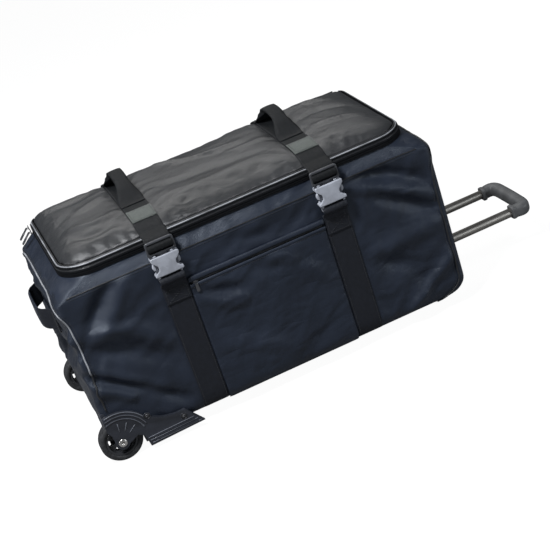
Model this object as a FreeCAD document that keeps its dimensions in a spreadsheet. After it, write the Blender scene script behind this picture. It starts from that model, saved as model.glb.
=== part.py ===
"""Rolling duffel bag: a soft hollow body on two wheels, with a zipped and buckled lid and a pull-out handle.

Bag frame used below: X runs along the bag from the wheels (-X) to the pull-out handle (+X), Y runs across it
with the buckles on the -Y side, and Z is up from the ground. Every sub-part is then moved by the same offset,
which puts the row's origin under the middle of the whole object. Lengths are in millimetres.
"""

import FreeCAD, Part
import math
import os

import Sketcher
from FreeCAD import Placement, Rotation, Vector

SIZES = {
    # soft body
    "bag_length": 765.0, "bag_depth": 361.0, "panel_thickness": 4.0, "corner_radius": 12.0,
    "base_height": 25.0, "seam_height": 366.0, "rim_height": 388.0,
    # mouth of the bag and its lid
    "mouth_wheel_end": 344.0, "mouth_handle_end": 350.0, "mouth_front": 158.0, "mouth_rear": 168.0,
    "mouth_front_radius": 55.0, "mouth_rear_radius": 18.0, "crown_corner": 6.0, "tape_thickness": 1.5,
    "lid_gap": 0.4, "lid_rise": 26.6, "lid_crown_inset": 55.0,
    "piping_width": 3.0, "piping_height": 4.0,
    # front pocket
    "pocket_zip_low": 281.0, "pocket_zip_high": 293.0,
    # webbing
    "strap_offset": 166.0, "strap_width": 50.0, "webbing": 2.0, "front_strap_top": 330.0,
    "loop_width": 40.0, "loop_height": 461.0,
    "patch_front": 126.0, "patch_rear": 76.0, "patch_thickness": 1.2,
    # side-release buckles
    "buckle_width": 56.0, "buckle_bottom": 311.0, "socket_top": 366.0, "frame_top": 395.0,
    "socket_inner": 183.0, "socket_outer": 197.0, "channel_inner": 185.2, "channel_outer": 194.0,
    "tongue_inner": 185.7, "tongue_outer": 189.3,
    # wheels and their housings
    "wheel_radius": 42.0, "wheel_centre": 362.0, "rim_radius": 31.0, "axle_radius": 4.0, "bore_gap": 0.08,
    "well_length": 82.5, "well_inner": 146.0, "well_wall": 4.0, "well_top": 112.0, "arch_radius": 48.0,
    "cheek_outer": 187.0, "tyre_outer": 179.0, "tyre_inner": 153.0, "hub_outer": 179.8, "hub_inner": 150.8,
    "bolt_head": 3.0, "foot_start": 285.0, "foot_end": 345.0,
    # pull-out handle
    "tube_height": 91.0, "tube_offset": 67.0, "inner_tube": 9.5, "inner_bore": 8.2, "outer_bore": 10.2,
    "outer_tube": 11.5, "sliding_gap": 0.06, "inner_start": 20.0, "outer_start": 300.0, "outer_end": 378.0,
    "grip_socket": 552.0, "grip_inner": 568.0, "grip_outer": 600.0, "grip_half_width": 84.0,
    "grip_half_height": 14.0, "cavity_start": 574.0, "cavity_end": 592.0, "button_proud": 1.0,
    "saddle_wheel_end": -285.0, "saddle_handle_end": 335.0, "saddle_length": 18.0,
    "pin_station": -28.0, "travel_in": 160.0, "travel_out": 180.0,
    # grab handle on the wheel end
    "grab_reach": 28.0, "grab_half_length": 92.0, "grab_low": 262.0, "grab_width": 44.0,
    "grab_thickness": 5.0,
}
SCREWS = ((-302, 74), (-237, 41))

doc = FreeCAD.newDocument("rolling_duffel")
nodes = []
bases = {}


class Size:
    """A number that remembers the spreadsheet expression it came from."""

    def __init__(self, value, text):
        self.value = float(value)
        self.text = text

    def __float__(self):
        return self.value

    def __add__(self, other):
        other = as_size(other)
        return Size(self.value + other.value, f"({self.text} + {other.text})")

    def __sub__(self, other):
        other = as_size(other)
        return Size(self.value - other.value, f"({self.text} - {other.text})")

    def __mul__(self, other):
        other = as_size(other)
        return Size(self.value * other.value, f"({self.text} * {other.text})")

    def __truediv__(self, other):
        other = as_size(other)
        return Size(self.value / other.value, f"({self.text} / {other.text})")

    def __neg__(self):
        return self * -1

    def __radd__(self, other):
        return as_size(other) + self

    def __rsub__(self, other):
        return as_size(other) - self

    __rmul__ = __mul__


def as_size(number):
    return number if isinstance(number, Size) else Size(number, f"({float(number)})")


def make_sheet():
    """Puts every driving dimension in a spreadsheet cell of its own and returns them by name."""
    sheet = doc.addObject("Spreadsheet::Sheet", "Sizes")
    cells = {}
    for row, (name, value) in enumerate(SIZES.items(), start=1):
        sheet.set(f"A{row}", name)
        sheet.set(f"B{row}", str(value))
        sheet.setAlias(f"B{row}", name)
        cells[name] = Size(value, f"Sizes.{name}")
    doc.recompute()
    return cells


S = make_sheet()
HALF_LENGTH = S["bag_length"] / 2
HALF_DEPTH = S["bag_depth"] / 2
SKIN = S["panel_thickness"]
FRONT, REAR = -1, 1
SIDES = {"front": FRONT, "rear": REAR}
STRAP_ENDS = {"wheel_end": -S["strap_offset"], "handle_end": S["strap_offset"]}
ORIGIN_X = (HALF_LENGTH + S["grab_reach"] - S["grip_outer"] - S["button_proud"]) / 2
ORIGIN_Y = (S["socket_outer"] - S["cheek_outer"] - S["bolt_head"]) / 2


def bind(thing, path, size):
    thing.setExpression(path, as_size(size).text)


def bind_base(thing, x, y, z):
    bases[thing.Name] = (as_size(x), as_size(y), as_size(z))
    for axis, size in zip("xyz", bases[thing.Name]):
        bind(thing, f"Placement.Base.{axis}", size)


def ordered(first, second):
    return (first, second) if float(first) <= float(second) else (second, first)


def node(label, thing, x=0.0, y=0.0, z=0.0):
    """Names a finished sub-part and moves it from the bag frame to the row's own frame."""
    thing.Label = label
    own = bases.get(thing.Name, (0, 0, 0))
    bind_base(thing, ORIGIN_X + x + own[0], ORIGIN_Y + y + own[1], as_size(z) + own[2])
    nodes.append(thing)
    return thing


def box(name, xs, ys, zs):
    """A block between two x, two y and two z values, given in any order."""
    thing = doc.addObject("Part::Box", name)
    spans = [ordered(*pair) for pair in (xs, ys, zs)]
    for size, (low, high) in zip(("Length", "Width", "Height"), spans):
        bind(thing, size, high - low)
    bind_base(thing, *(low for low, _ in spans))
    return thing


def rod(name, radius, axis, start, length):
    """A solid cylinder that runs from a point along +X, +Y or +Z."""
    turns = {"x": Rotation(Vector(0, 1, 0), 90), "y": Rotation(Vector(1, 0, 0), -90), "z": Rotation()}
    thing = doc.addObject("Part::Cylinder", name)
    thing.Placement = Placement(Vector(*(float(v) for v in start)), turns[axis])
    bind(thing, "Radius", radius)
    bind(thing, "Height", length)
    bind_base(thing, *start)
    return thing


def fuse(name, things):
    thing = doc.addObject("Part::MultiFuse", name)
    thing.Shapes = things
    return thing


def cut(name, base, tools):
    thing = doc.addObject("Part::Cut", name)
    thing.Base = base
    thing.Tool = tools[0] if len(tools) == 1 else fuse(name + "_tools", tools)
    return thing


def common(name, base, tool):
    thing = doc.addObject("Part::Common", name)
    thing.Base = base
    thing.Tool = tool
    return thing


def group(name, things):
    thing = doc.addObject("Part::Compound", name)
    thing.Links = things
    return thing


def add_edge(sketch, point, following):
    """Adds a line, or an arc when the point carries a signed radius, and says which end comes first."""
    start = Vector(float(point[0]), float(point[1]), 0)
    end = Vector(float(following[0]), float(following[1]), 0)
    if len(point) == 2:
        return sketch.addGeometry(Part.LineSegment(start, end), False), 1, 2
    radius = float(point[2])
    chord = end - start
    normal = Vector(-chord.y, chord.x, 0).normalize()
    rise = math.sqrt(max(radius * radius - chord.Length ** 2 / 4, 0.0))
    centre = (start + end) * 0.5 + normal * (rise if radius > 0 else -rise)
    first, last = (start, end) if radius > 0 else (end, start)
    angles = [math.atan2(p.y - centre.y, p.x - centre.x) for p in (first, last)]
    circle = Part.Circle(centre, Vector(0, 0, 1), abs(radius))
    index = sketch.addGeometry(Part.ArcOfCircle(circle, *angles), False)
    size = point[2] if radius > 0 else -point[2]
    constrain(sketch, Sketcher.Constraint("Radius", index, abs(radius)), size)
    return (index, 1, 2) if radius > 0 else (index, 2, 1)


def constrain(sketch, constraint, size):
    index = sketch.addConstraint(constraint)
    bind(sketch, f"Constraints[{index}]", size)


def add_loop(sketch, outline):
    """Draws one closed outline, fixed by the coordinates of its points and the radii of its arcs."""
    count = len(outline)
    edges = [add_edge(sketch, outline[i], outline[(i + 1) % count]) for i in range(count)]
    for i, (index, first, last) in enumerate(edges):
        after, after_first, _ = edges[(i + 1) % count]
        sketch.addConstraint(Sketcher.Constraint("Coincident", index, last, after, after_first))
        for kind, size in zip(("DistanceX", "DistanceY"), outline[i][:2]):
            constrain(sketch, Sketcher.Constraint(kind, index, first, float(size)), size)


def draw(body, name, plane, offset, *outlines):
    """A sketch on one of the body's own origin planes, moved along the plane's normal."""
    sketch = body.newObject("Sketcher::SketchObject", name)
    support = next(item for item in body.Origin.OriginFeatures if item.Role == plane)
    sketch.AttachmentSupport = (support, [""])
    sketch.MapMode = "FlatFace"
    bind(sketch, "AttachmentOffset.Base.z", offset)
    for outline in outlines:
        add_loop(sketch, outline)
    return sketch


def pad(body, name, sketch, length):
    feature = body.newObject("PartDesign::Pad", name)
    feature.Profile = sketch
    bind(feature, "Length", length)
    sketch.Visibility = False
    return feature


def plate(name, plane, span, *outlines):
    """A body padded from outlines on a plane, between two values along that plane's axis."""
    body = doc.addObject("PartDesign::Body", name)
    low, high = ordered(*span)
    offset = -high if plane == "XZ_Plane" else low
    pad(body, name + "_pad", draw(body, name + "_outline", plane, offset, *outlines), high - low)
    return body


def rectangle(xs, ys):
    (left, right), (bottom, top) = ordered(*xs), ordered(*ys)
    return [(left, bottom), (right, bottom), (right, top), (left, top)]


def rounded(xs, ys, radius, upper=None):
    """A counter-clockwise rectangle with four round corners; the upper two may have a radius of their own."""
    (left, right), (bottom, top) = ordered(*xs), ordered(*ys)
    upper = radius if upper is None else upper
    return [
        (left + radius, bottom), (right - radius, bottom, radius),
        (right, bottom + radius), (right, top - upper, upper),
        (right - upper, top), (left + upper, top, upper),
        (left, top - upper), (left, bottom + radius, radius),
    ]


def mouth(margin):
    """The outline of the bag's mouth, grown by a margin, with tighter corners beside the hinge."""
    margin = as_size(margin)
    rear = S["mouth_rear_radius"] + margin
    return rounded((-S["mouth_wheel_end"] - margin, S["mouth_handle_end"] + margin),
                   (-S["mouth_front"] - margin, S["mouth_rear"] + margin), S["mouth_front_radius"] + margin,
                   rear if float(rear) > 0 else S["crown_corner"])


def shell_outline(inset):
    return rounded((-HALF_LENGTH + inset, HALF_LENGTH - inset), (-HALF_DEPTH + inset, HALF_DEPTH - inset),
                   S["corner_radius"] - inset)


# ---------------------------------------------------------------- soft body

def loft(body, name, kind, low, high):
    """Joins an outline at one height to an outline at another; each is a pair of height and outline."""
    lower = draw(body, name + "_low", "XY_Plane", *low)
    upper = draw(body, name + "_high", "XY_Plane", *high)
    feature = body.newObject(kind, name)
    feature.Profile = lower
    feature.Sections = [upper]
    return feature


def make_panels():
    """Cuts one hollow tub into its sewn panels."""
    low, seam = S["base_height"], S["seam_height"]
    outer = plate("tub_outer", "XY_Plane", (low, seam), shell_outline(0))
    inner = plate("tub_inner", "XY_Plane", (low + SKIN, seam), shell_outline(SKIN))
    well_edge = S["well_length"] - HALF_LENGTH
    wells = [box(f"well_{name}", (-HALF_LENGTH - 1, well_edge),
                 (side * S["well_inner"], side * (HALF_DEPTH + 1)), (low - 1, S["well_top"]))
             for name, side in SIDES.items()]
    tub = cut("tub", outer, [inner] + wells)
    side_end = HALF_LENGTH - S["corner_radius"]
    floor = low + SKIN
    full = (-HALF_LENGTH - 1, HALF_LENGTH + 1)
    depth = (-HALF_DEPTH - 1, HALF_DEPTH + 1)
    regions = {
        "base_panel": (full, depth, (low - 1, floor)),
        "front_panel": ((-side_end, side_end), (-HALF_DEPTH - 1, 0), (floor, seam)),
        "rear_panel": ((-side_end, side_end), (HALF_DEPTH + 1, 0), (floor, seam)),
        "wheel_end_panel": ((-HALF_LENGTH - 1, -side_end), depth, (floor, seam)),
    }
    for name, region in regions.items():
        node(name, common(name, tub, box(name + "_region", *region)))
    end = common("handle_end_blank", tub,
                 box("handle_end_region", (side_end, HALF_LENGTH + 1), depth, (floor, seam)))
    holes = [rod(f"handle_end_hole_{name}", S["outer_tube"] + 1, "x",
                 (HALF_LENGTH - 20, side * S["tube_offset"], S["tube_height"]), 40)
             for name, side in SIDES.items()]
    node("handle_end_panel", cut("handle_end_panel", end, holes))


def make_borders():
    """The sloping border that carries the zip, from the side seam up to the mouth, in its sewn parts."""
    body = doc.addObject("PartDesign::Body", "border")
    seam, top = S["seam_height"], S["rim_height"]
    loft(body, "border_outside", "PartDesign::AdditiveLoft", (seam, shell_outline(0)), (top, mouth(SKIN)))
    loft(body, "border_inside", "PartDesign::SubtractiveLoft", (seam, shell_outline(SKIN)), (top, mouth(0)))
    split = S["mouth_wheel_end"]
    tall = (seam - 1, top + 1)
    node("front_zip_border", common("front_zip_border", body, box(
        "front_border_region", (-split, split), (-HALF_DEPTH - 1, 0), tall)))
    node("rear_hinge_border", common("rear_hinge_border", body, box(
        "rear_border_region", (-split, split), (0, HALF_DEPTH + 1), tall)))
    ends = {"wheel": (-HALF_LENGTH - 1, -split), "handle": (split, HALF_LENGTH + 1)}
    node("end_borders", group("end_borders", [
        common(f"{name}_end_border", body,
               box(f"{name}_border_region", xs, (-HALF_DEPTH - 1, HALF_DEPTH + 1), tall))
        for name, xs in ends.items()]))


def make_linings():
    board_top = S["base_height"] + SKIN + 3
    inside = HALF_LENGTH - 2 * SKIN
    node("base_board", box("base_board", (-inside, inside), (-S["well_inner"] + 2, S["well_inner"] - 2),
                           (S["base_height"] + SKIN, board_top)))
    floor = S["well_top"] + 2
    node("compartment_floor", box("compartment_floor", (-inside, inside), (8 - HALF_DEPTH, HALF_DEPTH - 8),
                                  (floor, floor + 2)))


def make_trim():
    """Zip tapes, the pocket panel, the webbing sewn to the body and the piping of the end seams."""
    top = S["rim_height"]
    tape = plate("body_tape_ring", "XY_Plane", (top, top + S["tape_thickness"]), mouth(SKIN), mouth(0))
    keep = box("body_tape_region", (-HALF_LENGTH, HALF_LENGTH), (-HALF_DEPTH, HALF_DEPTH - 60),
               (top - 1, top + 3))
    node("body_zip_tape", common("body_zip_tape", tape, keep))
    face = -HALF_DEPTH
    pocket = S["strap_offset"] - S["strap_width"] / 2 - 3
    zip_low, zip_high = S["pocket_zip_low"], S["pocket_zip_high"]
    node("pocket_zip_tape", box("pocket_zip_tape", (-pocket, pocket), (face, face - S["tape_thickness"]),
                                (zip_low, zip_high)))
    node("front_pocket_panel", box("front_pocket_panel", (-pocket, pocket), (face, face - S["webbing"]),
                                   (S["base_height"] + SKIN, zip_low)))
    half = S["strap_width"] / 2
    for name, centre in STRAP_ENDS.items():
        node(f"front_strap_{name}", box(f"front_strap_{name}", (centre - half, centre + half),
                                        (face, face - S["webbing"]),
                                        (S["base_height"], S["front_strap_top"])))
    node("rear_straps", group("rear_straps", [
        box(f"rear_strap_{name}", (centre - half, centre + half), (-face, S["webbing"] - face),
            (S["base_height"], S["seam_height"])) for name, centre in STRAP_ENDS.items()]))
    node("end_seam_piping", group("end_seam_piping", [
        make_end_piping(name, sign) for name, sign in {"wheel": -1, "handle": 1}.items()]))


def make_end_piping(name, sign):
    """A ring of piping round the seam between the side panels and one end panel."""
    seam = HALF_LENGTH - S["corner_radius"]
    bottom = S["well_top"] + 4
    ring = plate(f"piping_{name}", "YZ_Plane", (sign * (seam - 4), sign * seam),
                 rectangle((-HALF_DEPTH - 2, HALF_DEPTH + 2), (bottom, S["seam_height"])),
                 rectangle((-HALF_DEPTH, HALF_DEPTH), (bottom + 1, S["seam_height"] - 1)))
    sides = box(f"piping_sides_{name}", (sign * (seam - 5), sign * (seam + 1)),
                (-HALF_DEPTH - 3, HALF_DEPTH + 3), (bottom + 2, S["seam_height"] - 2))
    return common(f"piping_run_{name}", ring, sides)


def make_grab_handle():
    """A padded webbing handle that stands off the wheel end in a shallow arch."""
    reach, half, thick = S["grab_reach"], S["grab_half_length"], S["grab_thickness"]
    wall = -HALF_LENGTH
    outer = [(wall, -half), (wall, half), (wall - thick, half), (wall - reach, half - 40),
             (wall - reach, 40 - half), (wall - thick, -half)]
    inner = [(wall + 1, 24 - half), (wall + 1, half - 24), (wall - reach + thick, half - 42),
             (wall - reach + thick, 42 - half)]
    low = S["grab_low"]
    band = plate("grab_band", "XY_Plane", (low, low + S["grab_width"]), outer)
    gap = plate("grab_gap", "XY_Plane", (low - 1, low + S["grab_width"] + 1), inner)
    node("end_grab_handle", cut("end_grab_handle", band, [gap]))


# ---------------------------------------------------------------- lid

def make_lid():
    base = S["rim_height"] + S["tape_thickness"] + S["lid_gap"]
    tape_top = base + S["tape_thickness"]
    crown = tape_top + S["lid_rise"]
    inset = S["lid_crown_inset"]
    body = doc.addObject("PartDesign::Body", "lid")
    loft(body, "lid_outside", "PartDesign::AdditiveLoft", (tape_top, mouth(0)), (crown, mouth(-inset + 5)))
    loft(body, "lid_inside", "PartDesign::SubtractiveLoft", (tape_top, mouth(-SKIN)),
         (crown - SKIN, mouth(-inset - SKIN + 5)))
    node("lid_panel", trim_rear(body, "lid_panel"))
    tape = plate("lid_tape", "XY_Plane", (base, tape_top), mouth(0), mouth(-SKIN))
    node("lid_zip_tape", trim_rear(tape, "lid_zip_tape"))
    piping = plate("piping_ring", "XY_Plane", (tape_top, tape_top + S["piping_height"]),
                   mouth(S["piping_width"]), mouth(0))
    node("lid_piping", trim_rear(piping, "lid_piping"))
    for name, centre in STRAP_ENDS.items():
        make_lid_strap(name, centre, tape_top, crown)
    make_patches(crown)


def make_patches(crown):
    """A patch on each lid strap, where the strap bends over the front edge of the crown."""
    run = S["lid_crown_inset"] - 5
    bend, near, far = run - S["mouth_front"], -S["patch_front"], -S["patch_rear"]
    top, thick, half = crown + S["webbing"], S["patch_thickness"], S["strap_width"] / 2
    low = top - (bend - near) * S["lid_rise"] / run
    outline = [(near, low), (bend, top), (far, top), (far, top + thick), (bend, top + thick),
               (near, low + thick)]
    node("strap_patches", group("strap_patches", [
        plate(f"strap_patch_{name}", "YZ_Plane", (centre - half, centre + half), outline)
        for name, centre in STRAP_ENDS.items()]))


def trim_rear(thing, name):
    """Stops a lid piece short of the hinge line, so that it swings clear of the rear border."""
    return common(name, thing, box(name + "_region", (-HALF_LENGTH, HALF_LENGTH),
                                   (-HALF_DEPTH, S["mouth_rear"] - 1), (S["seam_height"], S["loop_height"])))


def make_lid_strap(name, centre, low, crown):
    """Webbing over the lid: it climbs from the buckle, crosses the crown and ends at the hinge seam."""
    thick = S["webbing"]
    over = low + S["piping_height"] + 0.2
    inset = S["lid_crown_inset"] - 5
    slope = inset / S["lid_rise"]
    front, rear = -S["mouth_front"], S["mouth_rear"]
    climb = front + (over - low) * slope
    drop = -S["tongue_inner"] + 0.3 + thick
    rear_slope_end = rear - 1
    rear_z = low + (rear - rear_slope_end) / slope
    under = [(drop, S["socket_top"] + 6), (drop, over), (climb, over), (front + inset, crown),
             (rear - inset, crown), (rear_slope_end, rear_z)]
    above = [(y, z + thick) for y, z in under[:1:-1]]
    above += [(drop - thick, over + thick), (drop - thick, under[0][1])]
    half = S["strap_width"] / 2
    node(f"lid_strap_{name}", plate(f"lid_strap_{name}", "YZ_Plane", (centre - half, centre + half),
                                    under + above))
    top, foot = S["loop_height"], crown + thick
    arch = [(-38, foot), (-26, foot), (20, top - 4), (72, top - 4), (100, foot), (112, foot), (78, top),
            (14, top)]
    half = S["loop_width"] / 2
    node(f"carry_loop_{name}", plate(f"carry_loop_{name}", "YZ_Plane", (centre - half, centre + half), arch))


# ---------------------------------------------------------------- buckles

def make_buckle(name, centre):
    """A side-release buckle: a socket on the body, a frame on the lid strap and two spring prongs."""
    half = S["buckle_width"] / 2
    low, mid, top = S["buckle_bottom"], S["socket_top"], S["frame_top"]
    waist, notch_low, notch_high = half - 11, low + 22, low + 44
    hourglass = [(centre - half, low + 4), (centre - half + 4, low), (centre + half - 4, low),
                 (centre + half, low + 4), (centre + half, notch_low - 3), (centre + waist, notch_low + 6),
                 (centre + waist, notch_high - 8), (centre + half, notch_high + 6), (centre + half, mid),
                 (centre - half, mid), (centre - half, notch_high + 6), (centre - waist, notch_high - 8),
                 (centre - waist, notch_low + 6), (centre - half, notch_low - 3)]
    slot = rectangle((centre - half + 5, centre + half - 5), (low + 10, low + 15))
    block = plate(f"socket_block_{name}", "XZ_Plane", (-S["socket_outer"], -S["socket_inner"]), hourglass,
                  slot)
    channel = box(f"socket_channel_{name}", (centre - half - 1, centre + half + 1),
                  (-S["channel_outer"], -S["channel_inner"]), (notch_low, mid + 1))
    node(f"buckle_socket_{name}", cut(f"buckle_socket_{name}", block, [channel]))

    span = (-S["tongue_outer"], -S["tongue_inner"])
    frame_low = mid + 1
    frame = [(centre - half, frame_low), (centre - 6, frame_low), (centre - 5, frame_low - 22),
             (centre + 5, frame_low - 22), (centre + 6, frame_low), (centre + half, frame_low),
             (centre + half, top - 7, S["piping_height"] + 3), (centre + half - 7, top),
             (centre - half + 7, top, S["piping_height"] + 3), (centre - half, top - 7)]
    slots = [rectangle((centre - half + 5, centre + half - 5), (base, base + 5))
             for base in (frame_low + 4, top - 10)]
    node(f"buckle_frame_{name}", plate(f"buckle_frame_{name}", "XZ_Plane", span, frame, *slots))
    for side, sign in {"left": -1, "right": 1}.items():
        root = frame_low - 0.7
        prong = [(centre + sign * u, root - drop) for u, drop in
                 ((20, 0), (20, 10), (27, 18), (26, 26), (20, 30), (15, 28), (16, 14), (14, 0))]
        prong = prong if sign < 0 else prong[::-1]
        node(f"buckle_prong_{name}_{side}", plate(f"buckle_prong_{name}_{side}", "XZ_Plane", span, prong))


# ---------------------------------------------------------------- wheels

def make_wheel_end(name, side):
    centre = -S["wheel_centre"]
    axle_z = S["wheel_radius"]
    make_housing(name, side, centre, axle_z)
    inner, outer = side * S["tyre_inner"], side * S["tyre_outer"]
    half = (S["tyre_outer"] - S["tyre_inner"]) / 2
    middle = (inner + outer) / 2
    radius, rim = S["wheel_radius"], S["rim_radius"]
    tyre = doc.addObject("PartDesign::Body", f"tyre_{name}")
    profile = [(-half, rim), (half, rim), (half, radius - 5, 5), (half - 5, radius), (5 - half, radius, 5),
               (-half, radius - 5)]
    spin(tyre, f"tyre_{name}_turn", draw(tyre, f"tyre_{name}_section", "YZ_Plane", 0, profile))
    node(f"tyre_{name}", tyre, centre, middle, axle_z)
    make_hub(name, side, centre, axle_z, rim)


def spin(body, name, sketch):
    """Turns a section round the Y axis."""
    feature = body.newObject("PartDesign::Revolution", name)
    feature.Profile = sketch
    feature.ReferenceAxis = (sketch, ["H_Axis"])
    feature.Angle = 360
    sketch.Visibility = False
    return feature


def make_hub(name, side, centre, axle_z, rim):
    """A moulded wheel centre: barrel, web and rim, with a ring of windows through the web."""
    hub = doc.addObject("PartDesign::Body", f"wheel_hub_{name}")
    low, high = ordered(side * S["hub_inner"], side * S["hub_outer"])
    length = (high - low) / 2
    middle = (low + high) / 2
    bore = S["axle_radius"] + S["bore_gap"]
    tyre_half = (S["tyre_outer"] - S["tyre_inner"]) / 2
    shift = (side * (S["tyre_inner"] + S["tyre_outer"])) / 2 - middle
    section = [(-length, bore), (length, bore), (length, bore + 6), (4, bore + 6), (4, rim - 4),
               (shift + tyre_half - 1, rim - 4), (shift + tyre_half - 1, rim), (shift - tyre_half + 1, rim),
               (shift - tyre_half + 1, rim - 4), (-4, rim - 4), (-4, bore + 6), (-length, bore + 6)]
    spin(hub, f"hub_{name}_turn", draw(hub, f"hub_{name}_section", "YZ_Plane", 0, section))
    window = [(12, -4), (25, -7), (25, 7), (12, 4)]
    sketch = draw(hub, f"hub_{name}_window", "XZ_Plane", -10, window)
    pocket = hub.newObject("PartDesign::Pocket", f"hub_{name}_pocket")
    pocket.Profile = sketch
    pocket.Type = 0
    pocket.Midplane = True
    pocket.Length = 60
    pattern = hub.newObject("PartDesign::PolarPattern", f"hub_{name}_windows")
    pattern.Originals = [pocket]
    pattern.Axis = (next(item for item in hub.Origin.OriginFeatures if item.Role == "Y_Axis"), [""])
    pattern.Angle = 360
    pattern.Occurrences = 6
    hub.Tip = pattern
    node(f"wheel_hub_{name}", hub, centre, middle, axle_z)


def make_housing(name, side, centre, axle_z):
    """The moulded corner: an arch over the wheel and an outer cheek with a long tail along the base edge."""
    wall, outer, inner = side * HALF_DEPTH, side * S["cheek_outer"], side * S["well_inner"]
    left = -HALF_LENGTH
    arc = S["arch_radius"] + 17
    start, end = math.radians(35), math.radians(108.4)
    boss = 14
    cheek = [
        (-201, 15), (-231, 54, -100),
        (centre + arc * math.cos(start), axle_z + arc * math.sin(start), arc),
        (centre + arc * math.cos(end), axle_z + arc * math.sin(end)), (left, 74), (left + 6, 64),
        (centre - boss * math.cos(0.4), axle_z + boss * math.sin(0.4), as_size(boss)),
        (centre + boss * math.cos(0.5), axle_z - boss * math.sin(0.5)), (centre + 32, axle_z + 3), (-319, 38),
        (-314, 11),
    ]
    plate_body = plate(f"cheek_{name}", "XZ_Plane", (wall, outer), cheek)
    block = box(f"well_block_{name}", (left, left + S["well_length"]), (wall, inner),
                (S["base_height"] - 5, S["well_top"]))
    arch_end = inner + side * S["well_wall"]
    low, high = ordered(wall, arch_end)
    arch = rod(f"arch_{name}", S["arch_radius"], "y", (centre, low, axle_z), high - low)
    ridges = [make_ridge(f"ridge_{name}_{i}", side, centre, axle_z, radius)
              for i, radius in enumerate((59, 52))]
    bars = [box(f"bar_{name}_{i}", (-306, -214 - 5 * i), (outer, outer + side * 1.2),
                (19 + 7 * i, 22 + 7 * i)) for i in range(2)]
    low, high = ordered(outer + side, inner - side)
    hole = rod(f"axle_hole_{name}", S["axle_radius"] + 0.2, "y", (centre, low, axle_z), high - low)
    screw_holes = [rod(f"screw_hole_{name}_{i}", 2.2, "y", (x, low, z), high - low)
                   for i, (x, z) in enumerate(SCREWS)]
    well = cut(f"well_arch_{name}", block, [arch])
    solid = fuse(f"housing_solid_{name}", [plate_body, well] + ridges + bars)
    node(f"wheel_housing_{name}", cut(f"wheel_housing_{name}", solid, [hole] + screw_holes))


def make_ridge(name, side, centre, axle_z, radius):
    """A raised moulded arc over the wheel."""
    low, high = ordered(side * S["cheek_outer"], side * (S["cheek_outer"] + 1.2))
    rods = [rod(f"{name}_{r}", r, "y", (centre, low, axle_z), high - low) for r in (radius, radius - 3)]
    ring = cut(f"{name}_ring", rods[0], [rods[1]])
    region = box(f"{name}_region", (0.5 - HALF_LENGTH, -300), (low - 1, high + 1), (axle_z + 20, 200))
    return common(name, ring, region)


def make_fasteners():
    """Axle bolts with their nuts, and the screws that hold the housings on."""
    bolts, screws = [], []
    for name, side in SIDES.items():
        head, inner = side * (S["cheek_outer"] + S["bolt_head"]), side * (S["well_inner"] - 3)
        low, high = ordered(head, inner)
        shank = rod(f"shank_{name}", S["axle_radius"], "y", (-S["wheel_centre"], low, S["wheel_radius"]),
                    high - low)
        low, high = ordered(head, side * S["cheek_outer"])
        cap = rod(f"cap_{name}", 7.5, "y", (-S["wheel_centre"], low, S["wheel_radius"]), high - low)
        low, high = ordered(inner, side * S["well_inner"])
        nut = rod(f"nut_{name}", 6.5, "y", (-S["wheel_centre"], low, S["wheel_radius"]), high - low)
        bolts.append(fuse(f"bolt_{name}", [shank, cap, nut]))
        low, high = ordered(side * (S["cheek_outer"] + 1), side * (HALF_DEPTH + 0.5))
        screws += [rod(f"screw_{name}_{i}", 2.1, "y", (x, low, z), high - low)
                      for i, (x, z) in enumerate(SCREWS)]
    node("axle_bolts", group("axle_bolts", bolts))
    node("housing_screws", group("housing_screws", screws))


def make_feet():
    top = S["base_height"]
    feet = [plate(f"foot_{name}", "YZ_Plane", (S["foot_start"], S["foot_end"]),
                  [(side * 66, 0), (side * 96, 0), (side * 100, top), (side * 62, top)][::side])
            for name, side in SIDES.items()]
    node("base_feet", group("base_feet", feet))


# ---------------------------------------------------------------- pull-out handle

def make_tubes():
    z = S["tube_height"]
    start, end = -S["outer_start"], S["outer_end"]
    pin_x = S["pin_station"]
    for name, side in SIDES.items():
        y = side * S["tube_offset"]
        outer = rod(f"outer_solid_{name}", S["outer_tube"], "x", (start, y, z), end - start)
        bore = rod(f"outer_bore_{name}", S["outer_bore"], "x", (start - 1, y, z), end - start + 2)
        stops = [rod(f"stop_hole_{name}_{i}", 2.4, "z", (x, y, z - S["outer_tube"] - 1), 8)
                 for i, x in enumerate((pin_x - S["travel_in"], pin_x, pin_x + S["travel_out"]))]
        node(f"outer_tube_{name}", cut(f"outer_tube_{name}", outer, [bore] + stops))
        inner = rod(f"inner_solid_{name}", S["inner_tube"], "x", (-S["inner_start"], y, z),
                    S["cavity_start"] - 1 + S["inner_start"])
        hollow = rod(f"inner_hollow_{name}", S["inner_bore"], "x", (-S["inner_start"] - 1, y, z),
                     S["cavity_start"] + 1 + S["inner_start"])
        node(f"inner_tube_{name}", cut(f"inner_tube_{name}", inner, [hollow]))
    plugs, pins = [], []
    for name, side in SIDES.items():
        y = side * S["tube_offset"]
        plug = rod(f"plug_{name}", S["outer_bore"] - S["sliding_gap"], "x", (-S["inner_start"] - 16, y, z),
                   16)
        guide = rod(f"pin_guide_{name}", 2.06, "z", (pin_x, y, z - 11.5), 13.5)
        plugs.append(cut(f"plug_body_{name}", plug, [guide]))
        pins.append(rod(f"pin_{name}", 2.0, "z", (pin_x, y, z - 9.8), 7.5))
    node("tube_end_plugs", group("tube_end_plugs", plugs))
    node("lock_pins", group("lock_pins", pins))


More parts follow.
